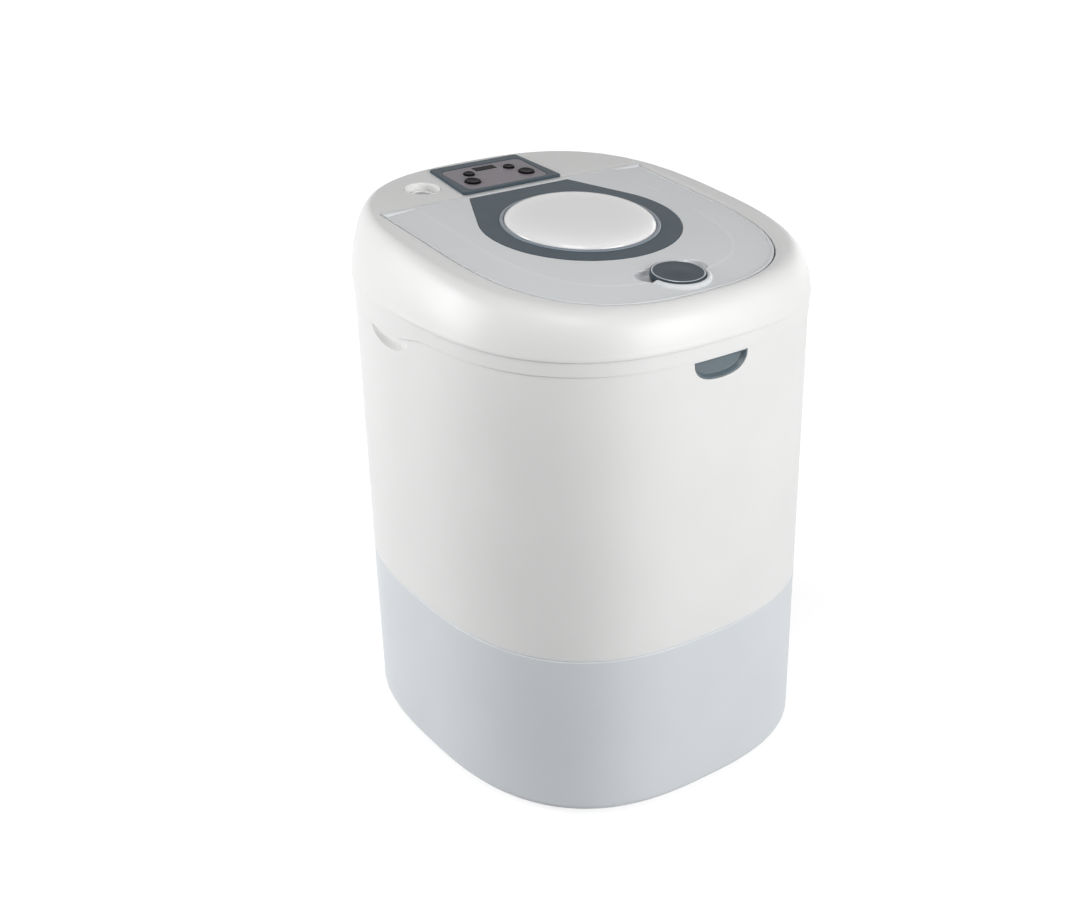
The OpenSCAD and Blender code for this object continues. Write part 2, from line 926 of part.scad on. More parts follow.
// Water level switch hanging under the rear deck.
module pressure_sensor() {
    color(plastic)
        on_deck()
            translate([-inlet_x + 6, inlet_y - 12, 0]) {
                translate([0, 0, -wall - 8])
                    cylinder(r = 22, h = 8);
                translate([0, 0, -wall - 20])
                    cylinder(r = 17, h = 13);
                translate([0, 0, -wall - 30])
                    cylinder(r = 3, h = 12);
            }
}

// Safety switch in the pocket's rear wall, its plunger short of the bead.
module lid_switch() {
    color(black)
        on_deck()
            box([26, 12, 14], [-lid_rear_x + 44, pocket_rear + wall + 6, -wall - 14]);
}

module hinge_pins() {
    color(steel)
        on_deck()
            for (sx = [-1, 1])
                translate([sx * pin_x, hinge_y, bead_z])
                    rotate([0, 90 * sx, 0])
                        cylinder(r = pin_r, h = pin_len);
}

// Corner plates that carry the suspension.
module rod_brackets() {
    color(zinc)
        difference() {
            intersection() {
                prism(plan(wall), rod_plate_z, rod_plate_z + 4);
                for (sx = [-1, 1], sy = [-1, 1])
                    translate([sx * rod_x, sy * rod_y, rod_plate_z])
                        rotate([0, 0, atan2(sy, sx)])
                            translate([-16, -60, 0])
                                cube([100, 120, 4]);
            }
            four_corners()
                translate([0, 0, rod_plate_z - 1])
                    cylinder(r = rod_r + 2, h = 6);
        }
}

// Plastic ball seats on the corner plates.
module rod_seats() {
    seat_z = rod_plate_z + 4;
    color(plastic)
        four_corners()
            translate([0, 0, seat_z])
                difference() {
                    cylinder(r = 12, h = 9);
                    translate([0, 0, 8.5])
                        sphere(r = 8);
                    translate([0, 0, -1])
                        cylinder(r = rod_r + 1.5, h = 12);
                }
}

// Four rods, each hanging by its ball.
module suspension_rods() {
    color(steel)
        four_corners() {
            translate([0, 0, rod_foot_z - 10])
                cylinder(r = rod_r, h = rod_plate_z + 12.5 - rod_foot_z + 10);
            translate([0, 0, rod_plate_z + 12.5])
                sphere(r = 8);
        }
}

// Washer and nut at the foot of each rod.
module rod_nuts() {
    color(zinc)
        four_corners()
            difference() {
                union() {
                    translate([0, 0, rod_foot_z - 3])
                        cylinder(r = 15, h = 3);
                    translate([0, 0, rod_foot_z - 8])
                        cylinder(r = 7.5, h = 5, $fn = 6);
                }
                translate([0, 0, rod_foot_z - 9])
                    cylinder(r = rod_r, h = 10);
            }
}

// Compression springs between the rod feet and the tub's frame.
module suspension_springs() {
    turns = 6;
    pitch = spring_h / turns;
    wire = 1.4;
    color(steel)
        four_corners()
            translate([0, 0, rod_foot_z])
                difference() {
                    rotate_extrude()
                        polygon(concat([[rod_r + 3, 0]],
                            [for (i = [0:turns - 1]) each [
                                [rod_r + 5, i * pitch],
                                [rod_r + 5 + wire, (i + 0.3) * pitch],
                                [rod_r + 5 + wire, (i + 0.7) * pitch]]],
                            [[rod_r + 5, spring_h], [rod_r + 3, spring_h]]));
                    translate([0, 0, -1])
                        cylinder(r = rod_r + 2.5, h = spring_h + 2);
                }
}

// Water tub with a stepped floor, hub, sump and stiffening hoops.
module outer_tub() {
    t = wall;
    color(plastic)
        at_tub()
            difference() {
                union() {
                    translate([0, 0, tub_z])
                        rotate_extrude()
                            polygon(concat(
                                [[0, 0], [tub_r - 16, 0]],
                                [for (a = [-75:15:0]) [tub_r - 16 + 13 * cos(a), 13 + 13 * sin(a)]],
                                [for (z = [70, 150, 230]) each
                                    [[tub_r - 3, z], [tub_r, z + 3], [tub_r, z + 9], [tub_r - 3, z + 12]]],
                                [[tub_r - 3, tub_h - 8], [tub_r, tub_h - 6], [tub_r, tub_h], [0, tub_h]]));
                }
                translate([0, 0, tub_z])
                    rotate_extrude()
                        polygon(concat(
                            [[0, t + 6], [26, t + 6], [32, t], [tub_r - 19, t]],
                            [for (a = [-75:15:0]) [tub_r - 17 - t + 11 * cos(a), t + 11 + 11 * sin(a)]],
                            [[tub_r - 6, tub_h + 1], [0, tub_h + 1]]));
                translate([0, 0, tub_z - 1])
                    cylinder(r = 24, h = 12);
                translate([drain_valve_x, 0, tub_z - 1])
                    cylinder(r = 12, h = t + 2);
            }
}

// Cover ring that keeps the suds in the tub.
module tub_cover() {
    color(plastic)
        at_tub()
            translate([0, 0, tub_top])
                rotate_extrude()
                    polygon([[throat_r + 12, 6], [throat_r + 12, cover_h], [throat_r + 15, cover_h],
                        [throat_r + 17, 4], [tub_r - 8, 4], [tub_r - 4, 5], [tub_r + 3, 5],
                        [tub_r + 3, -8], [tub_r + gap, -8], [tub_r + gap, 0],
                        [throat_r + 14, 0]]);
}

// Outline of the pressed steel cross: a strip to each rod's ear.
module frame_outline() {
    difference() {
        union() {
            translate([0, tub_y])
                circle(r = 62);
            for (sx = [-1, 1], sy = [-1, 1])
                strip([0, tub_y], [sx * rod_x, sy * rod_y], 34);
            strip([0, tub_y], [0, tub_y + 106], 30);
            for (sx = [-1, 1], sy = [-1, 1])
                translate([sx * rod_x, sy * rod_y])
                    circle(r = ear_r);
            translate([motor_x, tub_y])
                circle(r = motor_r + 4);
        }
        translate([0, tub_y])
            circle(r = bearing_r + 2);
        for (sx = [-1, 1], sy = [-1, 1])
            translate([sx * rod_x, sy * rod_y])
                circle(r = rod_r + 2);
    }
}

// Steel cross under the tub, each arm stiffened by a rib.
module support_frame() {
    middle = [0, tub_y];
    color(zinc) {
        translate([0, 0, frame_z])
            linear_extrude(frame_t)
                frame_outline();
        for (sx = [-1, 1], sy = [-1, 1]) {
            arm = [sx * rod_x, sy * rod_y] - middle;
            along = arm / norm(arm);
            translate([0, 0, frame_z - 6])
                linear_extrude(8)
                    strip(middle + 46 * along, middle + arm - (ear_r + 19) * along, 6);
        }
    }
}

// Cast housing that holds both bearings under the frame.
module bearing_housing() {
    color(aluminium)
        at_tub()
            difference() {
                union() {
                    translate([0, 0, unit_z])
                        cylinder(r = 32, h = housing_h - 6);
                    translate([0, 0, frame_z - 6])
                        cylinder(r = 41, h = 6);
                    for (i = [0:5])
                        rotate([0, 0, 60 * i + 15])
                            translate([0, -2.5, unit_z + 20])
                                cube([38, 5, housing_h - 24]);
                }
                translate([0, 0, unit_z - 1])
                    cylinder(r = spin_r + 3, h = housing_h + 2);
                translate([0, 0, unit_z - 1])
                    cylinder(r = bearing_r, h = 5 + bearing_h);
                translate([0, 0, frame_z - bearing_h])
                    cylinder(r = bearing_r, h = bearing_h + 1);
            }
}

module main_bearings() {
    color(steel)
        at_tub()
            for (z = [unit_z + 4, frame_z - bearing_h])
                translate([0, 0, z])
                    rotate_extrude()
                        polygon([[spin_r + run, 0], [spin_r + run, bearing_h],
                            [spin_r + 3.5, bearing_h], [spin_r + 4.2, bearing_h - 1],
                            [bearing_r - 4, bearing_h - 1], [bearing_r - 3.4, bearing_h],
                            [bearing_r, bearing_h], [bearing_r, 0], [bearing_r - 3.4, 0],
                            [bearing_r - 4, 1], [spin_r + 4.2, 1], [spin_r + 3.5, 0]]);
}

module tub_seal() {
    color(rubber)
        at_tub()
            translate([0, 0, tub_z])
                rotate_extrude()
                    polygon([[spin_r + run, 2], [spin_r + run, 5], [spin_r + 3, 7],
                        [bearing_r, 7], [bearing_r, 0], [spin_r + 3, 0]]);
}

// Induction motor hung under the frame, with a raised stator band.
module motor_body() {
    color(zinc)
        translate([motor_x, tub_y, 0])
            difference() {
                union() {
                    translate([0, 0, motor_z])
                        rotate_extrude()
                            polygon([[0, 0], [motor_r - 10, 0], [motor_r - 4, 10], [motor_r - 4, 18],
                                [motor_r, 20], [motor_r, motor_h - 20], [motor_r - 4, motor_h - 18],
                                [motor_r - 4, motor_h], [0, motor_h]]);
                }
                translate([0, 0, motor_z + 12])
                    cylinder(r = 31, h = motor_h - 24);
                translate([0, 0, motor_z - 1])
                    cylinder(r = 5 + run, h = 20);
            }
}

module capacitor() {
    color(plastic)
        translate([0, tub_y + 84, 0])
            translate([0, 0, frame_z - 44])
                rotate_extrude()
                    polygon([[0, 0], [17, 0], [18, 1], [18, 40], [6, 40], [6, 44], [0, 44]]);
}

// Drain valve under the sump, with its actuator.
module drain_valve() {
    color(plastic)
        translate([drain_valve_x, tub_y, 0])
            difference() {
                union() {
                    translate([0, 0, hose_z - 16])
                        cylinder(r = 20, h = tub_z - hose_z + 16);
                    translate([-14, 0, hose_z])
                        rotate([90, 0, 0])
                            cylinder(r = 13, h = 46);
                    translate([0, 0, hose_z])
                        rotate([-90, 0, 0])
                            cylinder(r = drain_r, h = 36);
                }
                translate([0, 0, hose_z])
                    cylinder(r = 12, h = tub_z - hose_z + 1);
                translate([0, 0, hose_z])
                    rotate([-90, 0, 0])
                        cylinder(r = drain_r - 2, h = 40);
            }
}

// Ribbed hose from the drain valve, slipped over the outlet's upright stub.
module drain_hose() {
    start_y = tub_y + 22;
    end_y = niche_y - wall - 22;
    drop = hose_z - drain_z - 15;
    bore = drain_r + 0.5;
    ribs = floor((end_y - start_y - 24) / 10);
    color(rubber)
        difference() {
            union() {
                translate([drain_valve_x, start_y, hose_z])
                    rotate([-90, 0, 0])
                        cylinder(r = hose_r, h = end_y - start_y);
                translate([drain_valve_x, end_y, hose_z])
                    sphere(r = hose_r + 2);
                translate([drain_valve_x, end_y, hose_z - drop])
                    cylinder(r = hose_r, h = drop);
                for (i = [1:ribs])
                    translate([drain_valve_x, start_y + 4 + i * 10, hose_z])
                        rotate([-90, 0, 0])
                            cylinder(r = hose_r + 1.5, h = 4);
            }
            translate([drain_valve_x, start_y - 1, hose_z])
                rotate([-90, 0, 0])
                    cylinder(r = bore, h = end_y - start_y + 7);
            translate([drain_valve_x, end_y, hose_z - drop - 1])
                cylinder(r = bore, h = drop + 7);
        }
}

// Outline of a belt round both pulleys, outside their grooves by grow.
module belt_line(grow) {
    big = driven_r - 4 + grow;
    small = motor_pulley_r - 4 + grow;
    lean = acos((big - small) / motor_x);
    circle(r = big, $fn = 96);
    translate([motor_x, 0])
        circle(r = small, $fn = 96);
    polygon([[big * cos(lean), big * sin(lean)],
        [big * cos(lean), -big * sin(lean)],
        [motor_x + small * cos(lean), -small * sin(lean)],
        [motor_x + small * cos(lean), small * sin(lean)]]);
}

module drive_belt() {
    color(rubber)
        at_tub()
            translate([0, 0, pulley_z + pulley_h / 2 - 3])
                difference() {
                    linear_extrude(6)
                        belt_line(5);
                    translate([0, 0, -1])
                        linear_extrude(8)
                            belt_line(gap);
                }
}

// Profile of a grooved pulley from its bore to its rim.
function pulley_profile(r, hub_r, bore) = [
    [bore, 0], [hub_r, 0], [hub_r, pulley_h / 2 - 2], [r - 12, pulley_h / 2 - 2],
    [r - 8, 0], [r, 0], [r, 2], [r - 4, pulley_h / 2 - 3.6], [r - 4, pulley_h / 2 + 3.6],
    [r, pulley_h - 2], [r, pulley_h], [r - 8, pulley_h], [r - 12, pulley_h / 2 + 2],
    [hub_r, pulley_h / 2 + 2], [hub_r, pulley_h], [bore, pulley_h]];

module driven_pulley() {
    color(aluminium)
        at_tub()
            difference() {
                translate([0, 0, pulley_z])
                    rotate_extrude()
                        polygon(pulley_profile(driven_r, 16, shaft_r));
                for (i = [0:5])
                    rotate([0, 0, 60 * i])
                        translate([(driven_r + 4) / 2, 0, pulley_z - 1])
                            cylinder(r = 11, h = pulley_h + 2);
            }
}

module motor_pulley() {
    color(aluminium)
        translate([motor_x, tub_y, pulley_z])
            rotate_extrude()
                polygon([[5, 0], [motor_pulley_r, 0], [motor_pulley_r, 2],
                    [motor_pulley_r - 4, pulley_h / 2 - 3.6], [motor_pulley_r - 4, pulley_h / 2 + 3.6],
                    [motor_pulley_r, pulley_h - 2], [motor_pulley_r, pulley_h], [5, pulley_h]]);
}

// Rotor core on its shaft, running inside the motor body.
module motor_rotor() {
    color(steel)
        translate([motor_x, tub_y, 0]) {
            translate([0, 0, shaft_z])
                cylinder(r = 5, h = motor_z + motor_h - 16 - shaft_z);
            translate([0, 0, motor_z + 14])
                cylinder(r = 30.5, h = motor_h - 30);
        }
}

// Wash basket with ribs inside the wall and a rounded floor.
module basket() {
    r = basket_r;
    t = basket_wall;
    color(steel)
        at_tub()
            difference() {
                union() {
                    translate([0, 0, basket_z])
                        rotate_extrude()
                            polygon(concat(
                                [[spin_r + 1, 0], [r - 14, 0]],
                                [for (a = [-75:15:0]) [r - 14 + 14 * cos(a), 14 + 14 * sin(a)]],
                                [[r, basket_h - 8], [r - 2, basket_h - 4], [r - 2, basket_h],
                                 [r - 2 - t, basket_h], [r - 2 - t, basket_h - 5], [r - t, basket_h - 9]],
                                [for (a = [0:-15:-75]) [r - 14 + 11.5 * cos(a), 14 + 11.5 * sin(a)]],
                                [[r - 14, t], [spin_r + 1, t]]));
                }
            }
}

// Hollow ring, part filled with brine, that steadies the basket.
module balance_ring() {
    color(white)
        at_tub()
            translate([0, 0, basket_top])
                rotate_extrude()
                    polygon([[ring_in_r + 4, 0], [basket_r - 2, 0], [basket_r - 2, -4],
                        [basket_r + 1.5, -1], [basket_r + 3, 4], [basket_r + 3, ring_h - 6],
                        [basket_r - 1, ring_h], [ring_in_r + 5, ring_h], [ring_in_r, ring_h - 6],
                        [ring_in_r, 6]]);
}

// Aluminium flange that carries the basket on the spin tube.
module hub_flange() {
    color(aluminium)
        at_tub()
            difference() {
                union() {
                    translate([0, 0, basket_z - 5])
                        cylinder(r = 40, h = 5);
                    translate([0, 0, basket_z - 10])
                        cylinder(r = 21, h = 10);
                    for (i = [0:2])
                        rotate([0, 0, 120 * i + 30])
                            translate([0, -9, basket_z - 5])
                                cube([96, 18, 5]);
                }
                translate([0, 0, basket_z - 11])
                    cylinder(r = spin_r, h = 12);
            }
}

module spin_tube() {
    color(steel)
        at_tub()
            translate([0, 0, unit_z + 3])
                tube(spin_r, shaft_r + run, basket_z - unit_z - 3);
}

// Lint filter cassette clipped to the basket's inner wall.
module lint_filter() {
    color(plastic)
        at_tub()
            intersection() {
                translate([0, 0, basket_z + 0.38 * basket_h])
                    difference() {
                        cylinder(r = basket_r - basket_wall - 0.05, h = basket_h / 2);
                        translate([0, 0, -1])
                            cylinder(r = basket_r - 13, h = basket_h);
                    }
                box([200, 58, basket_h], [basket_r, 0, basket_z]);
            }
}

// Pulsator: dished disc with curved vanes cut from a turned body.
module pulsator() {
    rim = 7;
    hub = 24;
    color(white)
        at_tub()
            translate([0, 0, basket_z + basket_wall + 3])
                difference() {
                    union() {
                        rotate_extrude()
                            polygon([[0, 0], [pulsator_r - 5, 0], [pulsator_r, 3], [pulsator_r, rim - 2],
                                [pulsator_r - 3, rim], [80, 9], [45, 13], [28, hub - 4],
                                [22, hub], [0, hub]]);
                        intersection() {
                            rotate_extrude()
                                polygon([[0, 1], [pulsator_r - 6, 1], [pulsator_r - 8, 14],
                                    [pulsator_r - 20, 22], [70, 25], [40, 26], [0, 26]]);
                            for (i = [0:vanes - 1])
                                rotate([0, 0, 360 * i / vanes])
                                    linear_extrude(28)
                                        polygon(vane_plan());
                        }
                    }
                    translate([0, 0, -1])
                        cylinder(r = shaft_r, h = 19);
                    translate([0, 0, -1])
                        cylinder(r = 3, h = 40);
                    translate([0, 0, hub - 3])
                        cylinder(r = 11, h = 10);
                    translate([0, 0, -1])
                        tube(pulsator_r - 8, 30, 4);
                }
}

// Plan of one swept vane, wider at its root.
function vane_plan() =
    let (steps = 8,
         spine = [for (i = [0:steps])
            let (s = i / steps, r = 22 + (pulsator_r - 30) * s, a = 22 * s * s)
            [r * cos(a), r * sin(a), 8 - 3 * s, a + 14 * s]])
    concat([for (p = spine) [p[0] + p[2] * sin(p[3]), p[1] - p[2] * cos(p[3])]],
        [for (i = [steps:-1:0]) let (p = spine[i]) [p[0] - p[2] * sin(p[3]), p[1] + p[2] * cos(p[3])]]);

module pulsator_screw() {
    base = basket_z + basket_wall + 3;
    color(steel)
        at_tub()
            difference() {
                union() {
                    translate([0, 0, base + 21])
                        cylinder(r = 8, h = 4);
                    translate([0, 0, base + 17.9])
                        cylinder(r = 3, h = 4);
                }
                translate([0, 0, base + 23])
                    cylinder(r = 3.5, h = 3, $fn = 6);
            }
}

module wash_shaft() {
    color(steel)
        at_tub()
            translate([0, 0, shaft_z])
                cylinder(r = shaft_r, h = basket_z + basket_wall + 3 + 17.9 - shaft_z);
}

// Lid moulding with plateau, button well, finger hollows and hinge bead.
module lid_panel() {
    color(lid_white)
        on_deck()
            difference() {
                union() {
                    difference() {
                        loft([ring_at(lid_plan(0, hinge_y), -lid_h, 0),
                            ring_at(lid_plan(0, hinge_y), -lid_fall - 0.8, 0),
                            ring_at(lid_plan(0.8, hinge_y), -lid_fall, 0),
                            ring_at(lid_plan(lid_border, hinge_y), 0, 0)]);
                        prism(lid_plan(skin, hinge_y - bead_r - skin), -lid_h - 1, -lid_fall - skin);
                    }
                    translate([0, push_y, -9])
                        cylinder(r = push_r + 3.5, h = 10.4);
                    for (sx = [-1, 1])
                        translate([sx * hollow_x, hollow_y, -hollow_depth - 2])
                            cylinder(r = hollow_r + 2.5, h = hollow_depth - 0.5);
                    translate([-lid_rear_x, hinge_y, bead_z])
                        rotate([0, 90, 0])
                            cylinder(r = bead_r, h = lid_w);
                }
                translate([0, push_y, well_floor])
                    cylinder(r = push_r + gap, h = 20);
                translate([0, push_y, -20])
                    cylinder(r = stem_r + gap, h = 30);
                for (sx = [-1, 1])
                    translate([sx * hollow_x, hollow_y, -hollow_depth])
                        cylinder(r = hollow_r, h = 20);
                for (sx = [-1, 1])
                    translate([sx * (pin_x - gap), hinge_y, bead_z])
                        rotate([0, 90 * sx, 0])
                            cylinder(r = pin_r + run, h = 22);
                translate([0, 0, -1.7])
                    linear_extrude(5)
                        keyhole(0.15);
                translate([0, dome_y, -20])
                    cylinder(r = dome_r - 6, h = 30);
            }
}

// Plan of the dark trim: a disc with sides that run to the hinge line.
module keyhole(grow) {
    r = trim_r + grow;
    end_x = panel_w / 2 + grow;
    end_y = hinge_y - bead_r + 0.2;
    side = norm([end_x, end_y - dome_y]);
    lean = acos(r / side) + atan2(end_x, end_y - dome_y);
    polygon(concat([[end_x, end_y], [-end_x, end_y]],
        [for (i = [0:64])
            let (t = 90 + lean + (360 - 2 * lean) * i / 64)
            [r * cos(t), dome_y + r * sin(t)]]));
}

module lid_trim() {
    color(slate)
        on_deck()
            difference() {
                translate([0, 0, -1.7])
                    linear_extrude(2)
                        keyhole(0);
                translate([0, dome_y, -5])
                    cylinder(r = dome_r + bezel_w, h = 10);
            }
}

// Bevelled ring round the dome.
module dome_bezel() {
    r = dome_r + 0.1;
    color(slate)
        on_deck()
            translate([0, dome_y, -1.7])
                rotate_extrude()
                    polygon([[r, 0], [r + bezel_w - 0.2, 0], [r + bezel_w - 0.2, 2.1],
                        [r + bezel_w - 1, 3.1], [r + 1.4, 3.3], [r, 2.2]]);
}

// Crowned dome: a thin cap of a large sphere on a short rim.
module lid_dome() {
    rim_z = -0.3;
    rise = dome_h - rim_z;
    big = (dome_r * dome_r + rise * rise) / (2 * rise);
    color(pearl)
        on_deck()
            translate([0, dome_y, 0])
                difference() {
                    intersection() {
                        translate([0, 0, dome_h - big])
                            sphere(r = big);
                        translate([0, 0, -1.7])
                            cylinder(r = dome_r, h = 20);
                    }
                    intersection() {
                        translate([0, 0, dome_h - big])
                            sphere(r = big - 2.5);
                        translate([0, 0, -3])
                            cylinder(r = dome_r - 2.5, h = 20);
                    }
                }
}

// Inner liner that closes the lid from below.
module lid_liner() {
    top = -lid_h + 2;
    color(lid_white)
        on_deck()
            difference() {
                union() {
                    prism(lid_plan(skin + 0.1, hinge_y - bead_r - skin - 0.1), -lid_h, top);
                    for (x = [-120:40:120])
                        box([2, 150, -lid_fall - skin - top], [x, 20, top]);
                }
                translate([0, push_y, -20])
                    cylinder(r = stem_r + gap, h = 30);
            }
}

// Round push button on the lid's front, with its release stem.
module lid_button() {
    top = 4;
    color(slate)
        on_deck()
            translate([0, push_y, 0])
                rotate_extrude()
                    polygon([[0, -12.4], [stem_r - 1, -12.4], [stem_r, -11.4],
                        [stem_r, well_floor + push_travel + gap],
                        [push_r, well_floor + push_travel + gap], [push_r, top - 1.2],
                        [push_r - 1.2, top], [push_r - 1.8, top], [push_r - 1.8, top - 1],
                        [push_r - 3.6, top - 1], [push_r - 3.6, top - 0.4],
                        [push_r / 2, top + 0.2], [0, top + 0.4]]);
}

module button_ring() {
    color(steel)
        on_deck()
            translate([0, push_y, 3])
                tube(push_r - 1.8, push_r - 3.6, 0.9);
}

base_shell();
rear_recesses();
rubber_feet();
cabinet_shell();
top_frame();
lid_well();
splash_ring();
control_housing();
fascia();
display_window();
control_board();
power_button();
start_button();
program_button();
level_button();
inlet_fitting();
inlet_filter();
inlet_valve();
front_badge();
rear_cover();
rear_screws();
cord_gland();
drain_outlet();
pressure_sensor();
lid_switch();
hinge_pins();
rod_brackets();
rod_seats();
suspension_rods();
rod_nuts();
suspension_springs();
outer_tub();
tub_cover();
support_frame();
bearing_housing();
main_bearings();
tub_seal();
motor_body();
capacitor();
drain_valve();
drain_hose();
drive_belt();
basket();
balance_ring();
hub_flange();
spin_tube();
lint_filter();
pulsator();
pulsator_screw();
wash_shaft();
driven_pulley();
motor_rotor();
motor_pulley();
lid_panel();
lid_trim();
dome_bezel();
lid_dome();
lid_liner();
lid_button();
button_ring();
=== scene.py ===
# %% [markdown]
# # A compact washing machine, dressed for its portrait
# The engineering model of this machine is already finished: it knows every
# shaft, screw and spring, and how they move. Here its visible pieces get the
# soft edges, the gloss and the colours of the real thing. Every piece is
# modelled the way you would by hand in Blender, with primitives, extrusions,
# spins, bevels and booleans, and then hung on the body that carries it.

# %% Load the engineering model
import json
from math import acos, atan, atan2, copysign, cos, degrees, hypot, pi, radians, sin, sqrt, tan
import bmesh
import bpy
from mathutils import Matrix, Vector

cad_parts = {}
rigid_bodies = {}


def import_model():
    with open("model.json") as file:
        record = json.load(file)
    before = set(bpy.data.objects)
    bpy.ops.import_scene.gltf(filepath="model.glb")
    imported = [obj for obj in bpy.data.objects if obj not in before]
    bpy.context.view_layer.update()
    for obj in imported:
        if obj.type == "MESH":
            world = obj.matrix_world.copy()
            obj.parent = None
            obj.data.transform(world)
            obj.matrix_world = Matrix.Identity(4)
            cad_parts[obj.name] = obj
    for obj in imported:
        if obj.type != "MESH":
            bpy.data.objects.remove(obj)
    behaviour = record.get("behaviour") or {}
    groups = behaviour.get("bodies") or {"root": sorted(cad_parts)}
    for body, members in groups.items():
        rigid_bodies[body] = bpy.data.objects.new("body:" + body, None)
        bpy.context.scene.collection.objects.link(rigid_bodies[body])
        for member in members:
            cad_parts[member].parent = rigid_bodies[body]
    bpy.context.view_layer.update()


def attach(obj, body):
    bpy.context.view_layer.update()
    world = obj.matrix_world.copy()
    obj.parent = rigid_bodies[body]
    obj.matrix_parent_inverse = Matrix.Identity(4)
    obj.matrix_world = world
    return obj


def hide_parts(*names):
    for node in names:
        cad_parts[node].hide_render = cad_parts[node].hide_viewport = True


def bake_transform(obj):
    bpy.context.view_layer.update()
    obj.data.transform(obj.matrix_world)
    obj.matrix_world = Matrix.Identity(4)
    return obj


bpy.ops.object.select_all(action="SELECT")
bpy.ops.object.delete()
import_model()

# %% [markdown]
# ## Sizes
# These are the machine's main sizes in millimetres. They could be measured on
# the engineering model's boxes, but a short list is easier to read. Nearly all
# are that model's own. The dome is a little higher here, the finger hollows are
# wider and the grips shallower, because that is how they look in the
# photograph. Blender works in metres, so every length passes through `mm`.

# %% Main sizes
mm = 0.001
half_w, half_d = 209.0, 232.0
front_square, rear_square = 2.67, 2.78
wall, gap = 3.0, 0.3
foot_h, base_round, base_top = 8.0, 10.0, 195.0
collar_z, collar_h, band_h, deck_z = 500.0, 76.0, 16.5, 576.0
collar_out, shoulder_in = 2.5, 25.0
tilt = radians(5.2)
slope = tan(tilt)
hinge_y, bead_r, bead_z = 111.0, 5.0, -4.0
lid_half, lid_front, lid_square, lid_y = 165.0, 204.0, 2.75, -2.0
pocket_rear, lid_gap, lid_h, skin = 116.5, 1.2, 13.5, 2.6
dome_r, dome_y, dome_h, trim_r = 79.0, -6.0, 13.5, 105.4
push_r, push_y = 27.5, -166.0
hollow_x, hollow_y, hollow_r = 27.0, -156.0, 14.0
tub_y = -12.0
inlet_x, inlet_y, inlet_r = -91.0, 157.5, 19.7
grip_y, grip_half, grip_in = 38.0, 48.0, 15.5
foot_x, foot_y, rod_x, rod_y = 141.0, 154.0, 150.0, 160.0
quarters = [(sx, sy) for sx in (-1, 1) for sy in (-1, 1)]
deck = Matrix.Translation((0, 0, deck_z * mm)) @ Matrix.Rotation(tilt, 4, "X")
print("deck height", deck_z, "mm, tilted by", round(degrees(tilt), 1), "degrees")

# %% [markdown]
# ## Working helpers
# Operators act on whatever is selected, so each new piece starts from a clean
# selection. `place` moves a finished mesh to its spot and leaves its object at
# the origin, which keeps textures steady when the machine moves. The object's
# own location could hold the place instead, but then the pattern of a finish
# would slide when the model is exported.

# %% Selection and placing
def deselect():
    bpy.ops.object.select_all(action="DESELECT")


def pick(piece):
    deselect()
    piece.select_set(True)
    bpy.context.view_layer.objects.active = piece


def take_all():
    bpy.ops.mesh.select_all(action="SELECT")


def edit(piece):
    pick(piece)
    bpy.ops.object.mode_set(mode="EDIT")
    take_all()


def done():
    bpy.ops.object.mode_set(mode="OBJECT")


def shifted(x, y, z):
    return Matrix.Translation(Vector((x, y, z)) * mm)


def place(piece, matrix=Matrix.Identity(4)):
    piece.data.transform(matrix @ piece.matrix_world)
    piece.matrix_world = Matrix.Identity(4)
    return piece


# %% [markdown]
# A modifier is only a recipe until it is applied. `modify` adds one, sets its
# values and applies it at once, and `carve` does that for a boolean and then
# throws the cutting tool away. Knife cuts would do for a flat panel, but a
# boolean follows a curved wall and leaves it closed. `tidied` welds the slivers
# that a boolean leaves, and `with_ends` closes the two ends of a wire.

# %% Modifiers and booleans
def modify(piece, kind, **settings):
    pick(piece)
    modifier = piece.modifiers.new(kind, kind)
    for key, value in settings.items():
        setattr(modifier, key, value)
    bpy.ops.object.modifier_apply(modifier=modifier.name)
    return piece


def carve(piece, tool, operation="DIFFERENCE"):
    modify(piece, "BOOLEAN", object=tool, operation=operation, solver="EXACT")
    bpy.data.objects.remove(tool)
    return piece


def tidied(piece):
    edit(piece)
    bpy.ops.mesh.remove_doubles(threshold=4e-6)
    bpy.ops.mesh.dissolve_degenerate(threshold=2e-6)
    done()
    return piece


def with_ends(piece):
    edit(piece)
    bpy.ops.mesh.remove_doubles(threshold=1e-6)
    bpy.ops.mesh.select_all(action="DESELECT")
    bpy.ops.mesh.select_non_manifold(extend=False, use_wire=False, use_multi_face=False,
                                     use_non_contiguous=False, use_verts=False)
    bpy.ops.mesh.edge_face_add()
    take_all()
    bpy.ops.mesh.normals_make_consistent(inside=False)
    done()
    return piece


def soften(piece, width, segments=2, angle=30):
    return modify(piece, "BEVEL", width=width * mm, segments=segments,
                  limit_method="ANGLE", angle_limit=radians(angle),
                  use_clamp_overlap=True)


def smooth(piece, angle=32):
    pick(piece)
    bpy.ops.object.shade_smooth_by_angle(angle=radians(angle))
    return piece


# %% [markdown]
# The cabinet is a rounded square in plan, fuller than an ellipse. A square
# with bevelled corners comes close, but its corners begin too suddenly, so a
# superellipse is used: one number sets how square it is, another one for the
# rear half. `outline` gives points round it, and `grow` raises a shell from a
# circle: the circle's vertices slide onto the first outline, and then the loop
# is extruded from outline to outline, as you would pull up a vase.

# %% Outlines and grown shells
def reach(a, b, square, t):
    return ((abs(cos(t)) / a) ** square + (abs(sin(t)) / b) ** square) ** (-1 / square)


def outline(off, z, share=0.0, count=240):
    ring = []
    for i in range(count):
        t = 2 * pi * i / count
        square = front_square if i > count / 2 else rear_square
        r = reach(half_w - off, half_d - off, square, t)
        x, y = r * cos(t), r * sin(t)
        ring.append(Vector((x, y, z + share * slope * y)) * mm)
    return ring


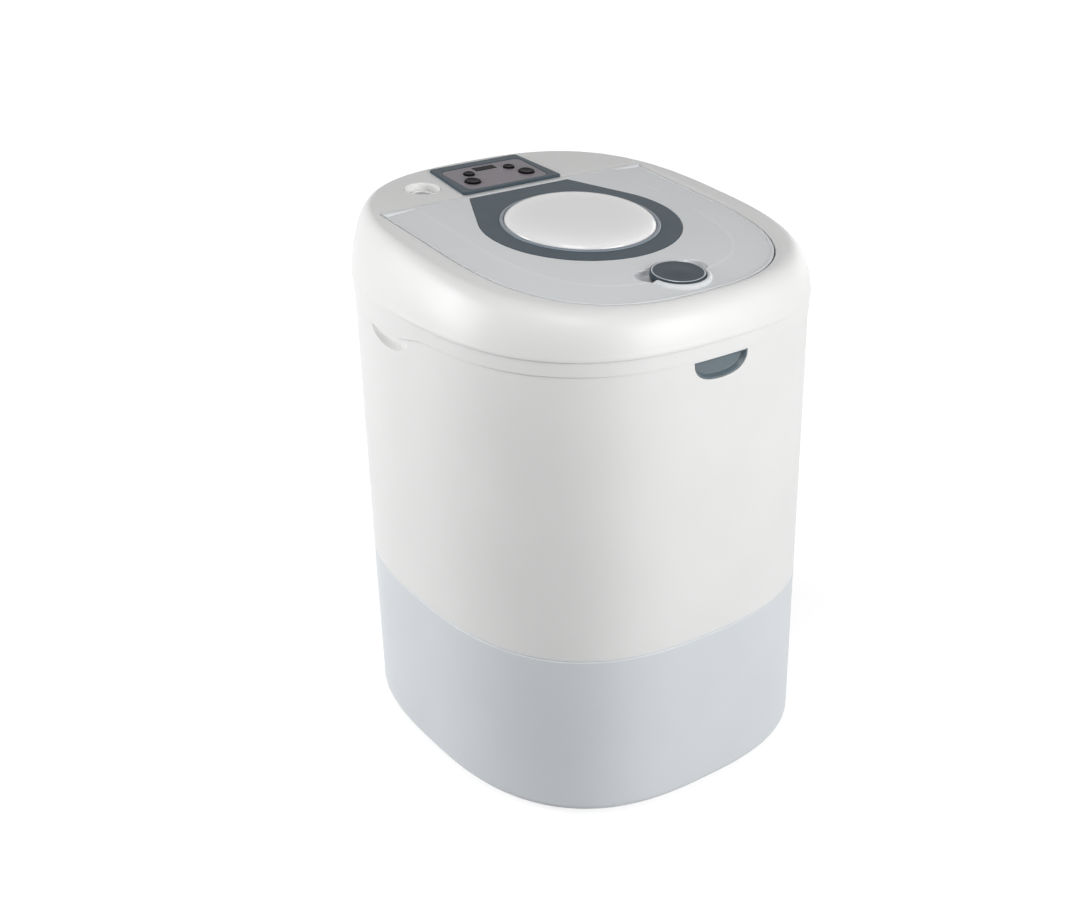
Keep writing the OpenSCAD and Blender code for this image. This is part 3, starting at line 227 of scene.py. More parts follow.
def slide_to(piece, old, new):
    mesh = bmesh.from_edit_mesh(piece.data)
    where = {tuple(round(c, 6) for c in p): i for i, p in enumerate(old)}
    for v in mesh.verts:
        if v.select:
            v.co = new[where[tuple(round(c, 6) for c in v.co)]]
    bmesh.update_edit_mesh(piece.data)


def grow(name, rings, closed=True):
    deselect()
    bpy.ops.mesh.primitive_circle_add(vertices=len(rings[0]), radius=0.1,
                                      fill_type="NGON" if closed else "NOTHING")
    piece = bpy.context.object
    piece.name = name
    edit(piece)
    slide_to(piece, [v.co.copy() for v in piece.data.vertices], rings[0])
    for old, new in zip(rings, rings[1:]):
        bpy.ops.mesh.extrude_region_move()
        slide_to(piece, old, new)
    take_all()
    bpy.ops.mesh.normals_make_consistent(inside=False)
    done()
    return piece


# %% [markdown]
# Knobs, rings, the dome and the feet are round on the real machine, and are
# turned here like wood on a lathe. `turn` draws half of the section as a chain
# of extruded vertices and spins it once round the axis. A cylinder with bevels
# would need a new bevel for every step of the section. The spin takes them all
# in one go, and its seam and poles are merged afterwards.

# %% Turned pieces
def turn(name, section, steps=96, at=(0, 0, 0), matrix=Matrix.Identity(4)):
    deselect()
    bpy.ops.mesh.primitive_plane_add(size=mm)
    piece = bpy.context.object
    piece.name = name
    edit(piece)
    bpy.ops.mesh.merge(type="CENTER")
    x, z = section[0]
    bpy.ops.transform.translate(value=(x * mm, 0, z * mm))
    for (x0, z0), (x1, z1) in zip(section, section[1:]):
        bpy.ops.mesh.extrude_region_move(
            TRANSFORM_OT_translate={"value": ((x1 - x0) * mm, 0, (z1 - z0) * mm)})
    if section[0][0] > 1e-6:
        take_all()
        bpy.ops.mesh.select_mode(type="VERT")
        close_ends(piece)
    take_all()
    bpy.ops.mesh.spin(steps=steps, angle=2 * pi, center=(0, 0, 0), axis=(0, 0, 1))
    take_all()
    bpy.ops.mesh.remove_doubles(threshold=1e-6)
    bpy.ops.mesh.dissolve_degenerate(threshold=1e-7)
    take_all()
    bpy.ops.mesh.normals_make_consistent(inside=False)
    done()
    return place(piece, matrix @ shifted(*at))


def close_ends(piece):
    mesh = bmesh.from_edit_mesh(piece.data)
    ends = [v for v in mesh.verts if len(v.link_edges) == 1]
    if len(ends) == 2:
        mesh.edges.new(ends)
    bmesh.update_edit_mesh(piece.data)


def arc(cx, cz, r, start, end, count=6):
    """Points of a rounded corner, in degrees from the section's outward direction."""
    return [(cx + r * cos(radians(start + (end - start) * i / count)),
             cz + r * sin(radians(start + (end - start) * i / count)))
            for i in range(count + 1)]


# %% [markdown]
# Most cutting tools are boxes and round posts. A box starts as a cube that is
# stretched to two opposite corners, because corners are what a drawing gives. A
# post is the simplest turned piece.

# %% Boxes and posts
def block(name, low, high, matrix=Matrix.Identity(4)):
    deselect()
    size = [b - a for a, b in zip(low, high)]
    middle = [(a + b) / 2 * mm for a, b in zip(low, high)]
    bpy.ops.mesh.primitive_cube_add(size=1, location=middle)
    piece = bpy.context.object
    piece.name = name
    piece.scale = [s * mm for s in size]
    bpy.context.view_layer.update()
    return place(piece, matrix)


def post(name, r, z0, z1, at=(0, 0), steps=64, matrix=Matrix.Identity(4)):
    return turn(name, [(0, z0), (r, z0), (r, z1), (0, z1)], steps, (at[0], at[1], 0), matrix)


# %% [markdown]
# The inlet has a thread, and the tub is sprung on four coils. Both are wires
# that climb round an axis. A curve with a round bevel could do it, but its
# points would have to be worked out one by one. The Screw modifier winds a
# small circle up the axis, or a diamond for the thread, and needs only the
# pitch and the number of turns.

# %% Wound wires
def wound(vertices, r, start, pitch, turns, steps):
    deselect()
    bpy.ops.mesh.primitive_circle_add(vertices=vertices, radius=r * mm, fill_type="NOTHING",
                                      location=[c * mm for c in start],
                                      rotation=(radians(90), 0, 0))
    wire = place(bpy.context.object)
    modify(wire, "SCREW", axis="Z", angle=2 * pi, screw_offset=pitch * mm, iterations=turns,
           steps=steps, render_steps=steps, use_smooth_shade=True)
    return with_ends(wire)


# %% [markdown]
# ## Finishes
# Moulded plastic is never one flat colour: the skin is very slightly wavy, the
# gloss wanders a little, and the tint drifts by a hair over the piece. A
# picture of plastic could be wrapped round each piece, but it would need a map
# and show its seams. Noise that reads the Object coordinates has no seam and is
# fixed to the piece. Values that are the same everywhere are set straight on
# the shader.

# %% Node helpers
def new_finish(name):
    finish = bpy.data.materials.new(name)
    finish.use_nodes = True
    nodes, links = finish.node_tree.nodes, finish.node_tree.links
    shader = nodes["Principled BSDF"]
    where = nodes.new("ShaderNodeTexCoord")
    return finish, nodes, links, shader, where


def noise(nodes, links, where, scale, detail=2.0, stretch=(1, 1, 1)):
    mapping = nodes.new("ShaderNodeMapping")
    mapping.inputs["Scale"].default_value = stretch
    links.new(where.outputs["Object"], mapping.inputs["Vector"])
    texture = nodes.new("ShaderNodeTexNoise")
    texture.inputs["Scale"].default_value = scale
    texture.inputs["Detail"].default_value = detail
    links.new(mapping.outputs["Vector"], texture.inputs["Vector"])
    return texture.outputs["Fac"]


def between(nodes, links, factor, low, high):
    ramp = nodes.new("ShaderNodeMapRange")
    ramp.inputs["From Min"].default_value = 0.3
    ramp.inputs["From Max"].default_value = 0.7
    ramp.inputs["To Min"].default_value = low
    ramp.inputs["To Max"].default_value = high
    links.new(factor, ramp.inputs["Value"])
    return ramp.outputs["Result"]


def tints(nodes, links, factor, first, second):
    mix = nodes.new("ShaderNodeMix")
    mix.data_type = "RGBA"
    mix.inputs["A"].default_value = (*first, 1)
    mix.inputs["B"].default_value = (*second, 1)
    links.new(factor, mix.inputs["Factor"])
    return mix.outputs["Result"]


def relief(nodes, links, shader, height, strength, distance):
    bump = nodes.new("ShaderNodeBump")
    bump.inputs["Strength"].default_value = strength
    bump.inputs["Distance"].default_value = distance * mm
    links.new(height, bump.inputs["Height"])
    links.new(bump.outputs["Normal"], shader.inputs["Normal"])


def paint(rgb, by=1.0):
    """A colour as a screen shows it, 0 to 255, in the linear values of a shader."""
    return tuple(((c * by / 255 + 0.055) / 1.055) ** 2.4 if c > 10 else c * by / 3294
                 for c in rgb)


# %% [markdown]
# `moulded` makes every plastic and rubber of the machine. The grain is the
# size of the mould's own texture, the drift is as broad as a hand. The glossy
# whites have almost no relief and a narrow range of gloss, because any more
# looks like dirt on a white machine. `metal` stretches its noise into brushed
# lines, or leaves it even for plated and cast parts.

# %% Moulded finishes
def moulded(name, rgb, gloss=(0.25, 0.32), grain=900, grain_height=0.004, drift=0.985,
            coat=0.0, strength=0.2, specular=0.5):
    finish, nodes, links, shader, where = new_finish(name)
    broad = noise(nodes, links, where, 9.0)
    fine = noise(nodes, links, where, grain, 1.0)
    links.new(tints(nodes, links, between(nodes, links, broad, 0, 1), paint(rgb),
                    paint(rgb, drift)), shader.inputs["Base Color"])
    links.new(between(nodes, links, noise(nodes, links, where, 60.0), *gloss),
              shader.inputs["Roughness"])
    shader.inputs["Specular IOR Level"].default_value = specular
    shader.inputs["Coat Weight"].default_value = coat
    shader.inputs["Coat Roughness"].default_value = 0.12
    relief(nodes, links, shader, fine, strength, grain_height)
    return finish


def metal(name, rgb, rough=(0.25, 0.4), stretch=(1, 1, 60), grain=300):
    finish, nodes, links, shader, where = new_finish(name)
    shader.inputs["Metallic"].default_value = 1.0
    lines = noise(nodes, links, where, grain, 3.0, stretch)
    links.new(tints(nodes, links, between(nodes, links, lines, 0, 1), paint(rgb),
                    paint(rgb, 0.88)), shader.inputs["Base Color"])
    links.new(between(nodes, links, lines, *rough), shader.inputs["Roughness"])
    relief(nodes, links, shader, lines, 0.1, 0.02)
    return finish


shell_white = moulded("glossy_white_shell", (231, 231, 230), gloss=(0.34, 0.37),
                      grain_height=0.0015, specular=0.4)
wall_white = moulded("satin_white_wall", (230, 230, 229), gloss=(0.36, 0.39), grain_height=0.006,
                     specular=0.4)
base_tint = moulded("satin_bluish_base", (214, 218, 222), gloss=(0.38, 0.41), grain_height=0.006,
                    specular=0.4)
lid_tint = moulded("lid_grey_white", (223, 225, 227), gloss=(0.25, 0.27), grain_height=0.0015,
                   specular=0.4)
# The inlet cup gets a lighter white than the shell: painted brightness that stands in for light
# inside the deep cup.
painted_bright_cup_white = moulded("inlet_white_painted_bright", (250, 250, 249), gloss=(0.30, 0.34))
slate_tint = moulded("slate_blue_grey", (96, 110, 117), gloss=(0.30, 0.36), grain_height=0.008,
                     strength=0.3, drift=0.95)
# A darker copy of the badge's slate, with little sheen, for the keyhole trim and the control
# housing on the deck: its darker colour is painted shade for the deck's weaker reflections.
slate_painted_shade = moulded("slate_painted_shade", (74, 88, 97), gloss=(0.30, 0.35), grain_height=0.006, drift=0.96,
                     specular=0.08)
slate_light = moulded("slate_bezel", (134, 145, 155), gloss=(0.22, 0.27), drift=0.96, specular=0.4)
slate_dark = moulded("slate_dark", (62, 74, 82), gloss=(0.30, 0.36), drift=0.94, specular=0.1)
pearl = moulded("pearl_dome", (240, 239, 239), gloss=(0.18, 0.20), coat=0.3, grain_height=0.001)
film = moulded("mauve_fascia_film", (136, 130, 137), gloss=(0.34, 0.40), grain=1500,
               grain_height=0.01, strength=0.3, specular=0.15)
window_black = moulded("display_window", (8, 8, 10), gloss=(0.14, 0.17), specular=0.02)
key_black = moulded("dark_button", (24, 20, 23), gloss=(0.26, 0.32), drift=0.85, specular=0.02)
tub_plastic = moulded("inner_plastic", (214, 216, 217), gloss=(0.42, 0.55), grain_height=0.05)
basket_plastic = moulded("basket_plastic", (205, 209, 214), gloss=(0.24, 0.32))
board_green = moulded("circuit_board", (34, 84, 56), gloss=(0.25, 0.4), grain=2200, strength=0.4)
rubber_black = moulded("rubber", (34, 34, 36), gloss=(0.62, 0.75), grain=1200, grain_height=0.08,
                       strength=0.5, specular=0.3)
bright_steel = metal("bright_steel", (186, 188, 192))
zinc_plate = metal("zinc_plate", (166, 170, 174), rough=(0.32, 0.5), stretch=(1, 1, 1), grain=70)
cast_alloy = metal("cast_alloy", (178, 180, 184), rough=(0.42, 0.55), stretch=(1, 1, 1), grain=420)
print("finishes:", len(bpy.data.materials))

# %% [markdown]
# ## Camera
# The picture is taken from the front left and from about 25 degrees above. A
# camera can be placed by eye, but a slope of 5 degrees is easily lost that way,
# so the numbers of this one were worked out from the machine's outline in the
# photograph. The camera is built from its viewing direction: `back` points from
# the machine to the lens. A small shift frames the machine as the photograph
# does. The shift and the focal length are in pixels of a picture 1080 wide.

# %% Camera
azimuth, height, roll = radians(-35.459), radians(25.209), radians(-0.72)
picture_w, sensor_w, focal, shift = 1080, 36, 1486.27, (-39.68, -11.55)
lens_at = (-0.8624, -1.2108, 1.0151)
back = Vector((sin(azimuth) * cos(height), -cos(azimuth) * cos(height), sin(height)))
right = Vector((cos(azimuth), sin(azimuth), 0))
above = back.cross(right)
side_axis = right * cos(roll) + above * sin(roll)
top_axis = above * cos(roll) - right * sin(roll)
deselect()
bpy.ops.object.camera_add()
camera = bpy.context.object
camera.matrix_world = (Matrix.Translation(lens_at)
                       @ Matrix((side_axis, top_axis, back)).transposed().to_4x4())
camera.data.lens = focal / picture_w * sensor_w
camera.data.sensor_width = sensor_w
camera.data.shift_x, camera.data.shift_y = shift[0] / picture_w, shift[1] / picture_w
camera.data.clip_end = 60
bpy.context.scene.camera = camera
print("lens", round(camera.data.lens, 2), "mm")

# %% [markdown]
# ## Light and floor
# A packshot: one broad softbox to the front right, one to the left and a
# little behind, a weak one overhead and a weak one on the right. A ring of
# equal lamps would leave a white cabinet flat. Here the corner that faces the
# camera gets the least of each, and the slow change of tone to both sides
# shows its form. The lamps are large, because glossy plastic mirrors a small
# one as a hard spot.

# %% Lamps
def softbox(name, at, size, power, aim=(0, 0, 0.3)):
    deselect()
    bpy.ops.object.light_add(type="AREA", location=at)
    lamp = bpy.context.object
    lamp.name = name
    lamp.data.shape = "RECTANGLE"
    lamp.data.size, lamp.data.size_y = size
    lamp.data.energy = power
    lamp.rotation_euler = (Vector(at) - Vector(aim)).to_track_quat("Z", "Y").to_euler()
    return lamp


def around(azimuth, height, far):
    a, e = radians(azimuth), radians(height)
    return (far * sin(a) * cos(e), -far * cos(a) * cos(e), 0.3 + far * sin(e))


softbox("softbox_front", around(17, 17, 2.6), (1.5, 1.8), 52)
softbox("softbox_left", around(-122, 15, 2.6), (1.3, 1.8), 53)
softbox("softbox_top", (-0.55, -0.6, 1.5), (0.6, 0.6), 4.6)
softbox("softbox_right", around(104, 8, 2.8), (1.6, 1.2), 6)

# %% [markdown]
# A catalogue picture has no horizon. A backdrop that curves up behind the
# machine would do, but its bend can show as a grey band. So the world is white
# to the camera and in reflections, and gives only a little light. The floor is
# grey paper under a glow that the camera and reflections see. The glow is
# weaker near the machine, so that its shadow shows, and full from two metres
# out, where the floor melts into the background.

# %% World and floor
def seen_directly(nodes, links):
    path = nodes.new("ShaderNodeLightPath")
    total = path.outputs["Is Camera Ray"]
    for name in ("Is Glossy Ray", "Is Transmission Ray"):
        add = nodes.new("ShaderNodeMath")
        add.operation = "MAXIMUM"
        links.new(total, add.inputs[0])
        links.new(path.outputs[name], add.inputs[1])
        total = add.outputs[0]
    return total


world = bpy.data.worlds.new("studio")
world.use_nodes = True
bpy.context.scene.world = world
nodes, links = world.node_tree.nodes, world.node_tree.links
ambient = nodes["Background"]
ambient.inputs["Color"].default_value = (0.985, 0.99, 1, 1)
ambient.inputs["Strength"].default_value = 0.07
white = nodes.new("ShaderNodeBackground")
white.inputs["Color"].default_value = (1, 1, 1, 1)
mix = nodes.new("ShaderNodeMixShader")
links.new(seen_directly(nodes, links), mix.inputs[0])
links.new(ambient.outputs[0], mix.inputs[1])
links.new(white.outputs[0], mix.inputs[2])
links.new(mix.outputs[0], nodes["World Output"].inputs["Surface"])

deselect()
bpy.ops.mesh.primitive_plane_add(size=40)
floor = bpy.context.object
floor.name = "floor"
paper, nodes, links, shader, where = new_finish("white_paper")
shader.inputs["Base Color"].default_value = (0.45, 0.452, 0.455, 1)
shader.inputs["Roughness"].default_value = 0.9
shader.inputs["Specular IOR Level"].default_value = 0.0
glow = nodes.new("ShaderNodeEmission")
distance = nodes.new("ShaderNodeVectorMath")
distance.operation = "LENGTH"
links.new(where.outputs["Object"], distance.inputs[0])
brighten = nodes.new("ShaderNodeMapRange")
near, far, dim, full = 0.3, 2.0, 0.78, 1.0
for socket, value in zip(("From Min", "From Max", "To Min", "To Max"), (near, far, dim, full)):
    brighten.inputs[socket].default_value = value
links.new(distance.outputs["Value"], brighten.inputs["Value"])
links.new(brighten.outputs["Result"], glow.inputs["Strength"])
none = nodes.new("ShaderNodeEmission")
none.inputs["Strength"].default_value = 0.0
mix, add = nodes.new("ShaderNodeMixShader"), nodes.new("ShaderNodeAddShader")
links.new(seen_directly(nodes, links), mix.inputs[0])
links.new(none.outputs[0], mix.inputs[1])
links.new(glow.outputs[0], mix.inputs[2])
links.new(shader.outputs[0], add.inputs[0])
links.new(mix.outputs[0], add.inputs[1])
links.new(add.outputs[0], nodes["Material Output"].inputs["Surface"])
floor.data.materials.append(paper)
print("floor laid,", floor.name)

# %% [markdown]
# ## Hanging a piece on the machine
# `hang` gives a finished piece its finish, smooths it, and says which body
# carries it and which parts of the engineering model it stands for. Smoothing
# by angle keeps real edges crisp. Weighted normals then let the large faces
# win, so that flat faces stay flat up to their rounded rims. `copy_of` gives
# each copy a mesh of its own, and `joined` makes one piece of several.

# %% Hanging pieces
def hang(piece, body, finish, slot, *nodes, angle=32, weigh=True):
    piece.data.materials.clear()
    piece.data.materials.append(finish)
    smooth(tidied(piece), angle)
    if weigh:
        modify(piece, "WEIGHTED_NORMAL", keep_sharp=True)
    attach(piece, body)
    if nodes:
        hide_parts(*nodes)
    print(piece.name, len(piece.data.polygons), "faces on", body)
    return piece


def copy_of(piece, name, matrix):
    twin = piece.copy()
    twin.data = piece.data.copy()
    twin.name = name
    bpy.context.scene.collection.objects.link(twin)
    twin.data.transform(matrix)
    return twin


def joined(name, pieces):
    deselect()
    for piece in pieces:
        piece.select_set(True)
    bpy.context.view_layer.objects.active = pieces[0]
    bpy.ops.object.join()
    pieces[0].name = name
    return pieces[0]


# %% [markdown]
# ## Base tray
# The base is one deep moulding with a rounded bottom edge. It is grown up the
# outside, over the lapped rim and down the inside again, so that it is a
# closed wall from the start. A solid block that is hollowed with a boolean
# would come to the same, but a grown wall has clean rings and the same
# thickness all round. Its floor is open under the pulley, has a socket for each
# foot, and the rear wall has a window for each recess box.

# %% Base tray
def bottom_edge(off, steps=6):
    turns = [pi / 2 * i / steps for i in range(steps + 1)]
    return [outline(off + base_round * (1 - sin(t)),
                    foot_h + off + base_round * (1 - cos(t))) for t in turns]


rim = [(0, -2.4), (0.12, -1.7), (0.5, -1.1), (1.0, -0.8), (1.0, 0), (3.3, 0), (3.3, 8), (5.3, 8),
       (5.3, -8), (3.0, -11)]
base = grow("base_tray", bottom_edge(0) + [outline(off, base_top + z) for off, z in rim]
            + bottom_edge(wall)[::-1])
niche_y, niche_w, niche_h, drain_z, rear_x = 205.0, 44.0, 56.0, 58.0, 110.0


def niche_block(name, side, more, far=80.0):
    x = side * rear_x
    return block(name, (x - niche_w / 2 - more, niche_y - more, drain_z - niche_h / 2 - more),
                 (x + niche_w / 2 + more, niche_y + far, drain_z + niche_h / 2 + more))


cut = [niche_block("window", side, wall + gap) for side in (-1, 1)]
cut += [post("pulley_hole", 84, foot_h - 1, foot_h + 4, (0, tub_y), 96)]
cut += [post("foot_hole", 5, foot_h - 1, foot_h + 8, (sx * foot_x, sy * foot_y), 32)
        for sx, sy in quarters]
carve(base, joined("holes", cut))
hang(base, "cabinet", base_tint, "base_grey", "base_shell")

# %% [markdown]
# The drain spigot and the mains gland sit in two boxes let into the rear wall,
# where a hand can reach them while the machine stands against a wall. Each box
# is trimmed by the cabinet's own outline, so its mouth is flush. A box with a
# flat mouth would either stick out or leave a step, since the wall is curved.

# %% Recess boxes
turned_back = Matrix.Rotation(radians(-90), 4, "X")
pods = []
for side, r in ((-1, 11.0), (1, 7.0)):
    pod = niche_block("pod", side, wall, 60)
    carve(pod, grow("trimmer", [outline(0.4, 11), outline(0.4, 190)]), "INTERSECT")
    carve(pod, soften(niche_block("niche", side, 0), 3, 4))
    carve(pod, post("fitting_hole", r, -wall - 2, 2, steps=48,
                    matrix=shifted(side * rear_x, niche_y, drain_z) @ turned_back))
    pods.append(pod)
hang(joined("recess_boxes", pods), "cabinet", base_tint, "base_grey", "rear_recesses")

# %% [markdown]
# ## Cabinet wall
# The wall is a tube of the same outline, grown up the outside and down the
# inside, and merged where it meets itself. Its edges are eased by less than a
# millimetre, and these easings make the fine seams above and below it. Painted
# lines could stand for the seams, but they wouldn't catch the light. Behind
# each grip a spindle-shaped scoop makes room for the fingers. The scoop gets a
# wall of its own before it is hollowed, or the boolean would only make a hole.

# %% Cabinet wall
tube = [(1.0, base_top), (0.3, base_top + 0.25), (0, base_top + 0.9), (0, collar_z - 0.8),
        (0.25, collar_z - 0.2), (0.8, collar_z), (3, collar_z), (3, base_top), (1.0, base_top)]
cabinet = grow("cabinet_wall", [outline(off, z) for off, z in tube], closed=False)


def spindle(name, side, off, top):
    r, half = grip_in + off, grip_half + off
    bow = (half * half + r * r) / (2 * r)
    section = [(0, -half)]
    for i in range(1, 24):
        y = half * (i / 12 - 1)
        section.append((sqrt(bow * bow - y * y) - bow + r, y))
    piece = turn(name, section + [(0, half)], 72,
                 matrix=shifted(side * (half_w + 4), grip_y, collar_z - 12) @ turned_back)
    return carve(piece, block("lid", (-300, -300, top - 100), (300, 300, top)), "INTERSECT")


for side in (-1, 1):
    scoop = spindle("scoop_wall", side, 2, collar_z - 9)
    carve(scoop, grow("inside", [outline(1.2, 440), outline(1.2, 500)]), "INTERSECT")
    carve(cabinet, scoop, "UNION")
    carve(cabinet, spindle("scoop", side, 0, collar_z - 11))
print("cabinet wall", len(cabinet.data.polygons), "faces")

# %% [markdown]
# ## Front tray and rear opening
# The blunt boat shape in the front wall is drawn as an outline in x and z and
# pulled through the wall, as a cutter that is deeper than the wall at every
# point. The rear wall gets a shallow seat for the service cover, and a window
# inside it. The seat's cutter is grown from the wall's own outline, so that it
# is equally deep everywhere, which a straight box wouldn't be.

# %% Openings of the cabinet wall
badge_w, badge_h, badge_z = 65.0, 21.0, collar_z - 2


def boat(off, y, count=48):
    points = []
    for i in range(count + 1):
        t = pi + pi * i / count
        r = reach(badge_w / 2 - off, badge_h - off, 2.4, t)
        points.append((r * cos(t), min(r * sin(t), -max(off, 0))))
    if off < 0:
        points += [(badge_w / 2 - off, -off), (off - badge_w / 2, -off)]
    return [Vector((x, y, badge_z + z)) * mm for x, z in points]


cover_w, cover_low, cover_high = 236.0, 217.0, collar_z - 46
carve(cabinet, grow("recess", [boat(-gap, -half_d + 13), boat(-gap, -half_d - 5)]))
seat = grow("seat", [outline(off, z) for off, z in
                     ((1.5, cover_low - 0.1), (-2, cover_low - 0.1), (-2, cover_high + 0.1),
                      (1.5, cover_high + 0.1), (1.5, cover_low - 0.1))], closed=False)
carve(seat, block("strip", (-cover_w / 2, 0, cover_low), (cover_w / 2, 300, cover_high)),
      "INTERSECT")
carve(cabinet, seat)
carve(cabinet, block("window", (12 - cover_w / 2, 150, cover_low + 12),
                     (cover_w / 2 - 12, 260, cover_high - 12)))
hang(cabinet, "cabinet", wall_white, "cabinet_white", "cabinet_shell")

# %% [markdown]
# ## Service cover and its screws
# A technician reaches the belt and the motor through the rear cover. It is a
# strip of the same outline, 1.5 mm thick, with three columns of vent slots. An
# Array modifier could repeat the slots, but a plain loop shows better where
# each one is. The slots are cut by rounded bars, made once and copied.

# %% Service cover
cover = grow("service_cover", [outline(off, z) for off, z in
                               ((1.5, cover_low), (0.4, cover_low), (0, cover_low + 0.4),
                                (0, cover_high - 0.4), (0.4, cover_high), (1.5, cover_high),
                                (1.5, cover_low))], closed=False)
carve(cover, block("strip", (gap - cover_w / 2, 0, cover_low - 1),
                   (cover_w / 2 - gap, 300, cover_high + 1)), "INTERSECT")
columns, rows, row_step, first_row = (-60, 0, 60), 7, 11, cover_low + 40
bar = soften(block("bar", (-22, 200, -2), (22, 260, 2)), 1.9, 4)
bars = [copy_of(bar, "bar", shifted(x, 0, first_row + row_step * row))
        for x in columns for row in range(rows)]
bpy.data.objects.remove(bar)
carve(cover, joined("bars", bars))
hang(cover, "cabinet", wall_white, "cabinet_white", "rear_cover")

# %% [markdown]
# A screw is a turned pan head with a cross cut into it. One is modelled and
# its six copies are set square to the curved wall: the slope of the outline
# gives the angle at each place, so no screw has to be turned by eye.

# %% Cover screws
def rear_depth(x):
    return half_d * (1 - (abs(x) / half_w) ** rear_square) ** (1 / rear_square)


def at_rear(x, z):
    lean = atan((abs(x) / half_w) ** (rear_square - 1) / half_w
                / ((rear_depth(x) / half_d) ** (rear_square - 1) / half_d))
    return (shifted(x, rear_depth(x), z) @ Matrix.Rotation(-copysign(lean, x), 4, "Z")
            @ turned_back)


screw = turn("cover_screws", [(0, -5), (1.6, -5), (1.6, 0), (3.55, 0), (3.6, 0.35), (3.35, 1.1),
                              (2.6, 1.7), (1.4, 1.98), (0, 2.0)], 40)
for size in ((0.42, 1.9), (1.9, 0.42)):
    carve(screw, block("cross", (-size[0], -size[1], 0.9), (size[0], size[1], 3)))
places = [(sx * (cover_w / 2 - 6), z) for sx in (-1, 1)
          for z in (cover_low + 6, (cover_low + cover_high) / 2, cover_high - 6)]
screws = [copy_of(screw, "screw", at_rear(x, z)) for x, z in places]
bpy.data.objects.remove(screw)
hang(joined("cover_screws", screws), "cabinet", zinc_plate, "zinc", "rear_screws")

# %% [markdown]
# ## Fittings at the foot of the rear wall
# The spigot has three barbs that hold a hose, and a flange on each side of
# the wall. The gland is soft rubber with relief grooves, which let it bend.
# Rings could be stacked on a pipe and joined, but both fittings are round, so
# their barbs and grooves are simply steps of the turned section. The elbow
# behind the spigot is turned too, with a half round foot.

# %% Spigot and gland
def at_niche(x):
    return shifted(x, niche_y, drain_z) @ turned_back


inside = -wall - 22
spigot = turn("drain_spigot", [(9, inside + 1), (11, inside + 1), (11, -5.5), (16, -5.5), (16, -3),
                               (11, -3), (11, 0), (15.6, 0), (16, 0.4), (16, 2.1), (15.6, 2.5),
                               (10.4, 2.5), (10.4, 9), (11, 10), (10.2, 15), (11, 16), (10.2, 20.5),
                               (11, 21.5), (10, 26), (9.3, 26), (9, 25.7)], 72,
              matrix=at_niche(-rear_x))
elbow = turn("elbow", [(0, -11)] + arc(0, 0, 11, -75, 0, 8) + [(11, 36), (9, 36), (9, 0)]
             + arc(0, 0, 9, -15, -75, 6) + [(0, -9)], 72,
             at=(-rear_x, niche_y + inside, drain_z))
hang(joined("drain_spigot", [spigot, elbow]), "cabinet", tub_plastic, "inner_plastic",
     "drain_outlet")

relief_grooves = []
for i in range(5):
    z = 4.4 + i * 2.2
    r = 7.5 - (z - 4) / 6
    relief_grooves += [(r, z), (r - 0.12, z + 1.1), (r - 0.9, z + 1.2), (r - 1.0, z + 2.1)]
gland = turn("lead_gland", [(3.5, -6), (9, -6), (9, -3), (7, -3), (7, 0), (9.7, 0), (10, 0.3),
                            (10, 2.1), (9.6, 2.5), (8, 3.4)] + relief_grooves
             + [(5.4, 15.7), (5.1, 16), (3.5, 16)], 64, matrix=at_niche(rear_x))
hang(gland, "cabinet", rubber_black, "rubber", "cord_gland")

# %% [markdown]
# A foot is a turned rubber pad with a groove round it. Its stem is pushed up
# into the base. It is modelled once and copied to the four corners.

# %% Feet
foot = turn("foot", [(0, 0), (12.6, 0), (13.4, 0.3), (15.6, 2.6), (16, 3.4), (16, 4.4), (15.4, 4.7),
                     (15.4, 5.3), (16, 5.6), (16, 7.6), (15.6, 8), (5, 8), (5, 14.6), (4.6, 15),
                     (0, 15)], 56)
feet = [copy_of(foot, "foot", shifted(sx * foot_x, sy * foot_y, 0)) for sx, sy in quarters]
bpy.data.objects.remove(foot)
hang(joined("feet", feet), "cabinet", rubber_black, "rubber", "rubber_feet")

# %% [markdown]
# ## Top frame
# The rounded shoulder is the form that makes this machine: a quarter turn of
# the outline that draws in by 25 mm while it rises, and leans back with the
# deck. A bevel on a slanted slab would be the quick way, but its lower edge
# would slant as well, and the real one is level. Computed rings lean little by
# little, so the lowest is level and the highest lies in the deck. They are
# grown from the inside over the lower rim and up the outside. A small bead at
# the step catches the light, as the real edge does. On each side the lowest
# rings flare a little and hang down in a shallow curve, and that lip is the
# carry grip.

# %% Shoulder rings
def shoulder(t, off=0.0):
    a = radians(t)
    return outline(off - collar_out + shoulder_in * (1 - cos(a)),
                   collar_z + (collar_h - off) * sin(a), sin(a) ** 2)


step_z, lip_length = collar_z + band_h, 152


def lipped(off, z, out, drop=0.0, share=0.0):
    ring, flared = outline(off, z, share), outline(off - out, z, share)
    for i, (p, q) in enumerate(zip(ring, flared)):
        along = (p.y / mm - grip_y) / lip_length
        if abs(along) < 0.5 and abs(p.x) > 0.15:
            w = cos(pi * along)
            ring[i] = p.lerp(q, w ** 0.6) - Vector((0, 0, drop * max(13 * w ** 1.4 - 1, 0) * mm))
    return ring


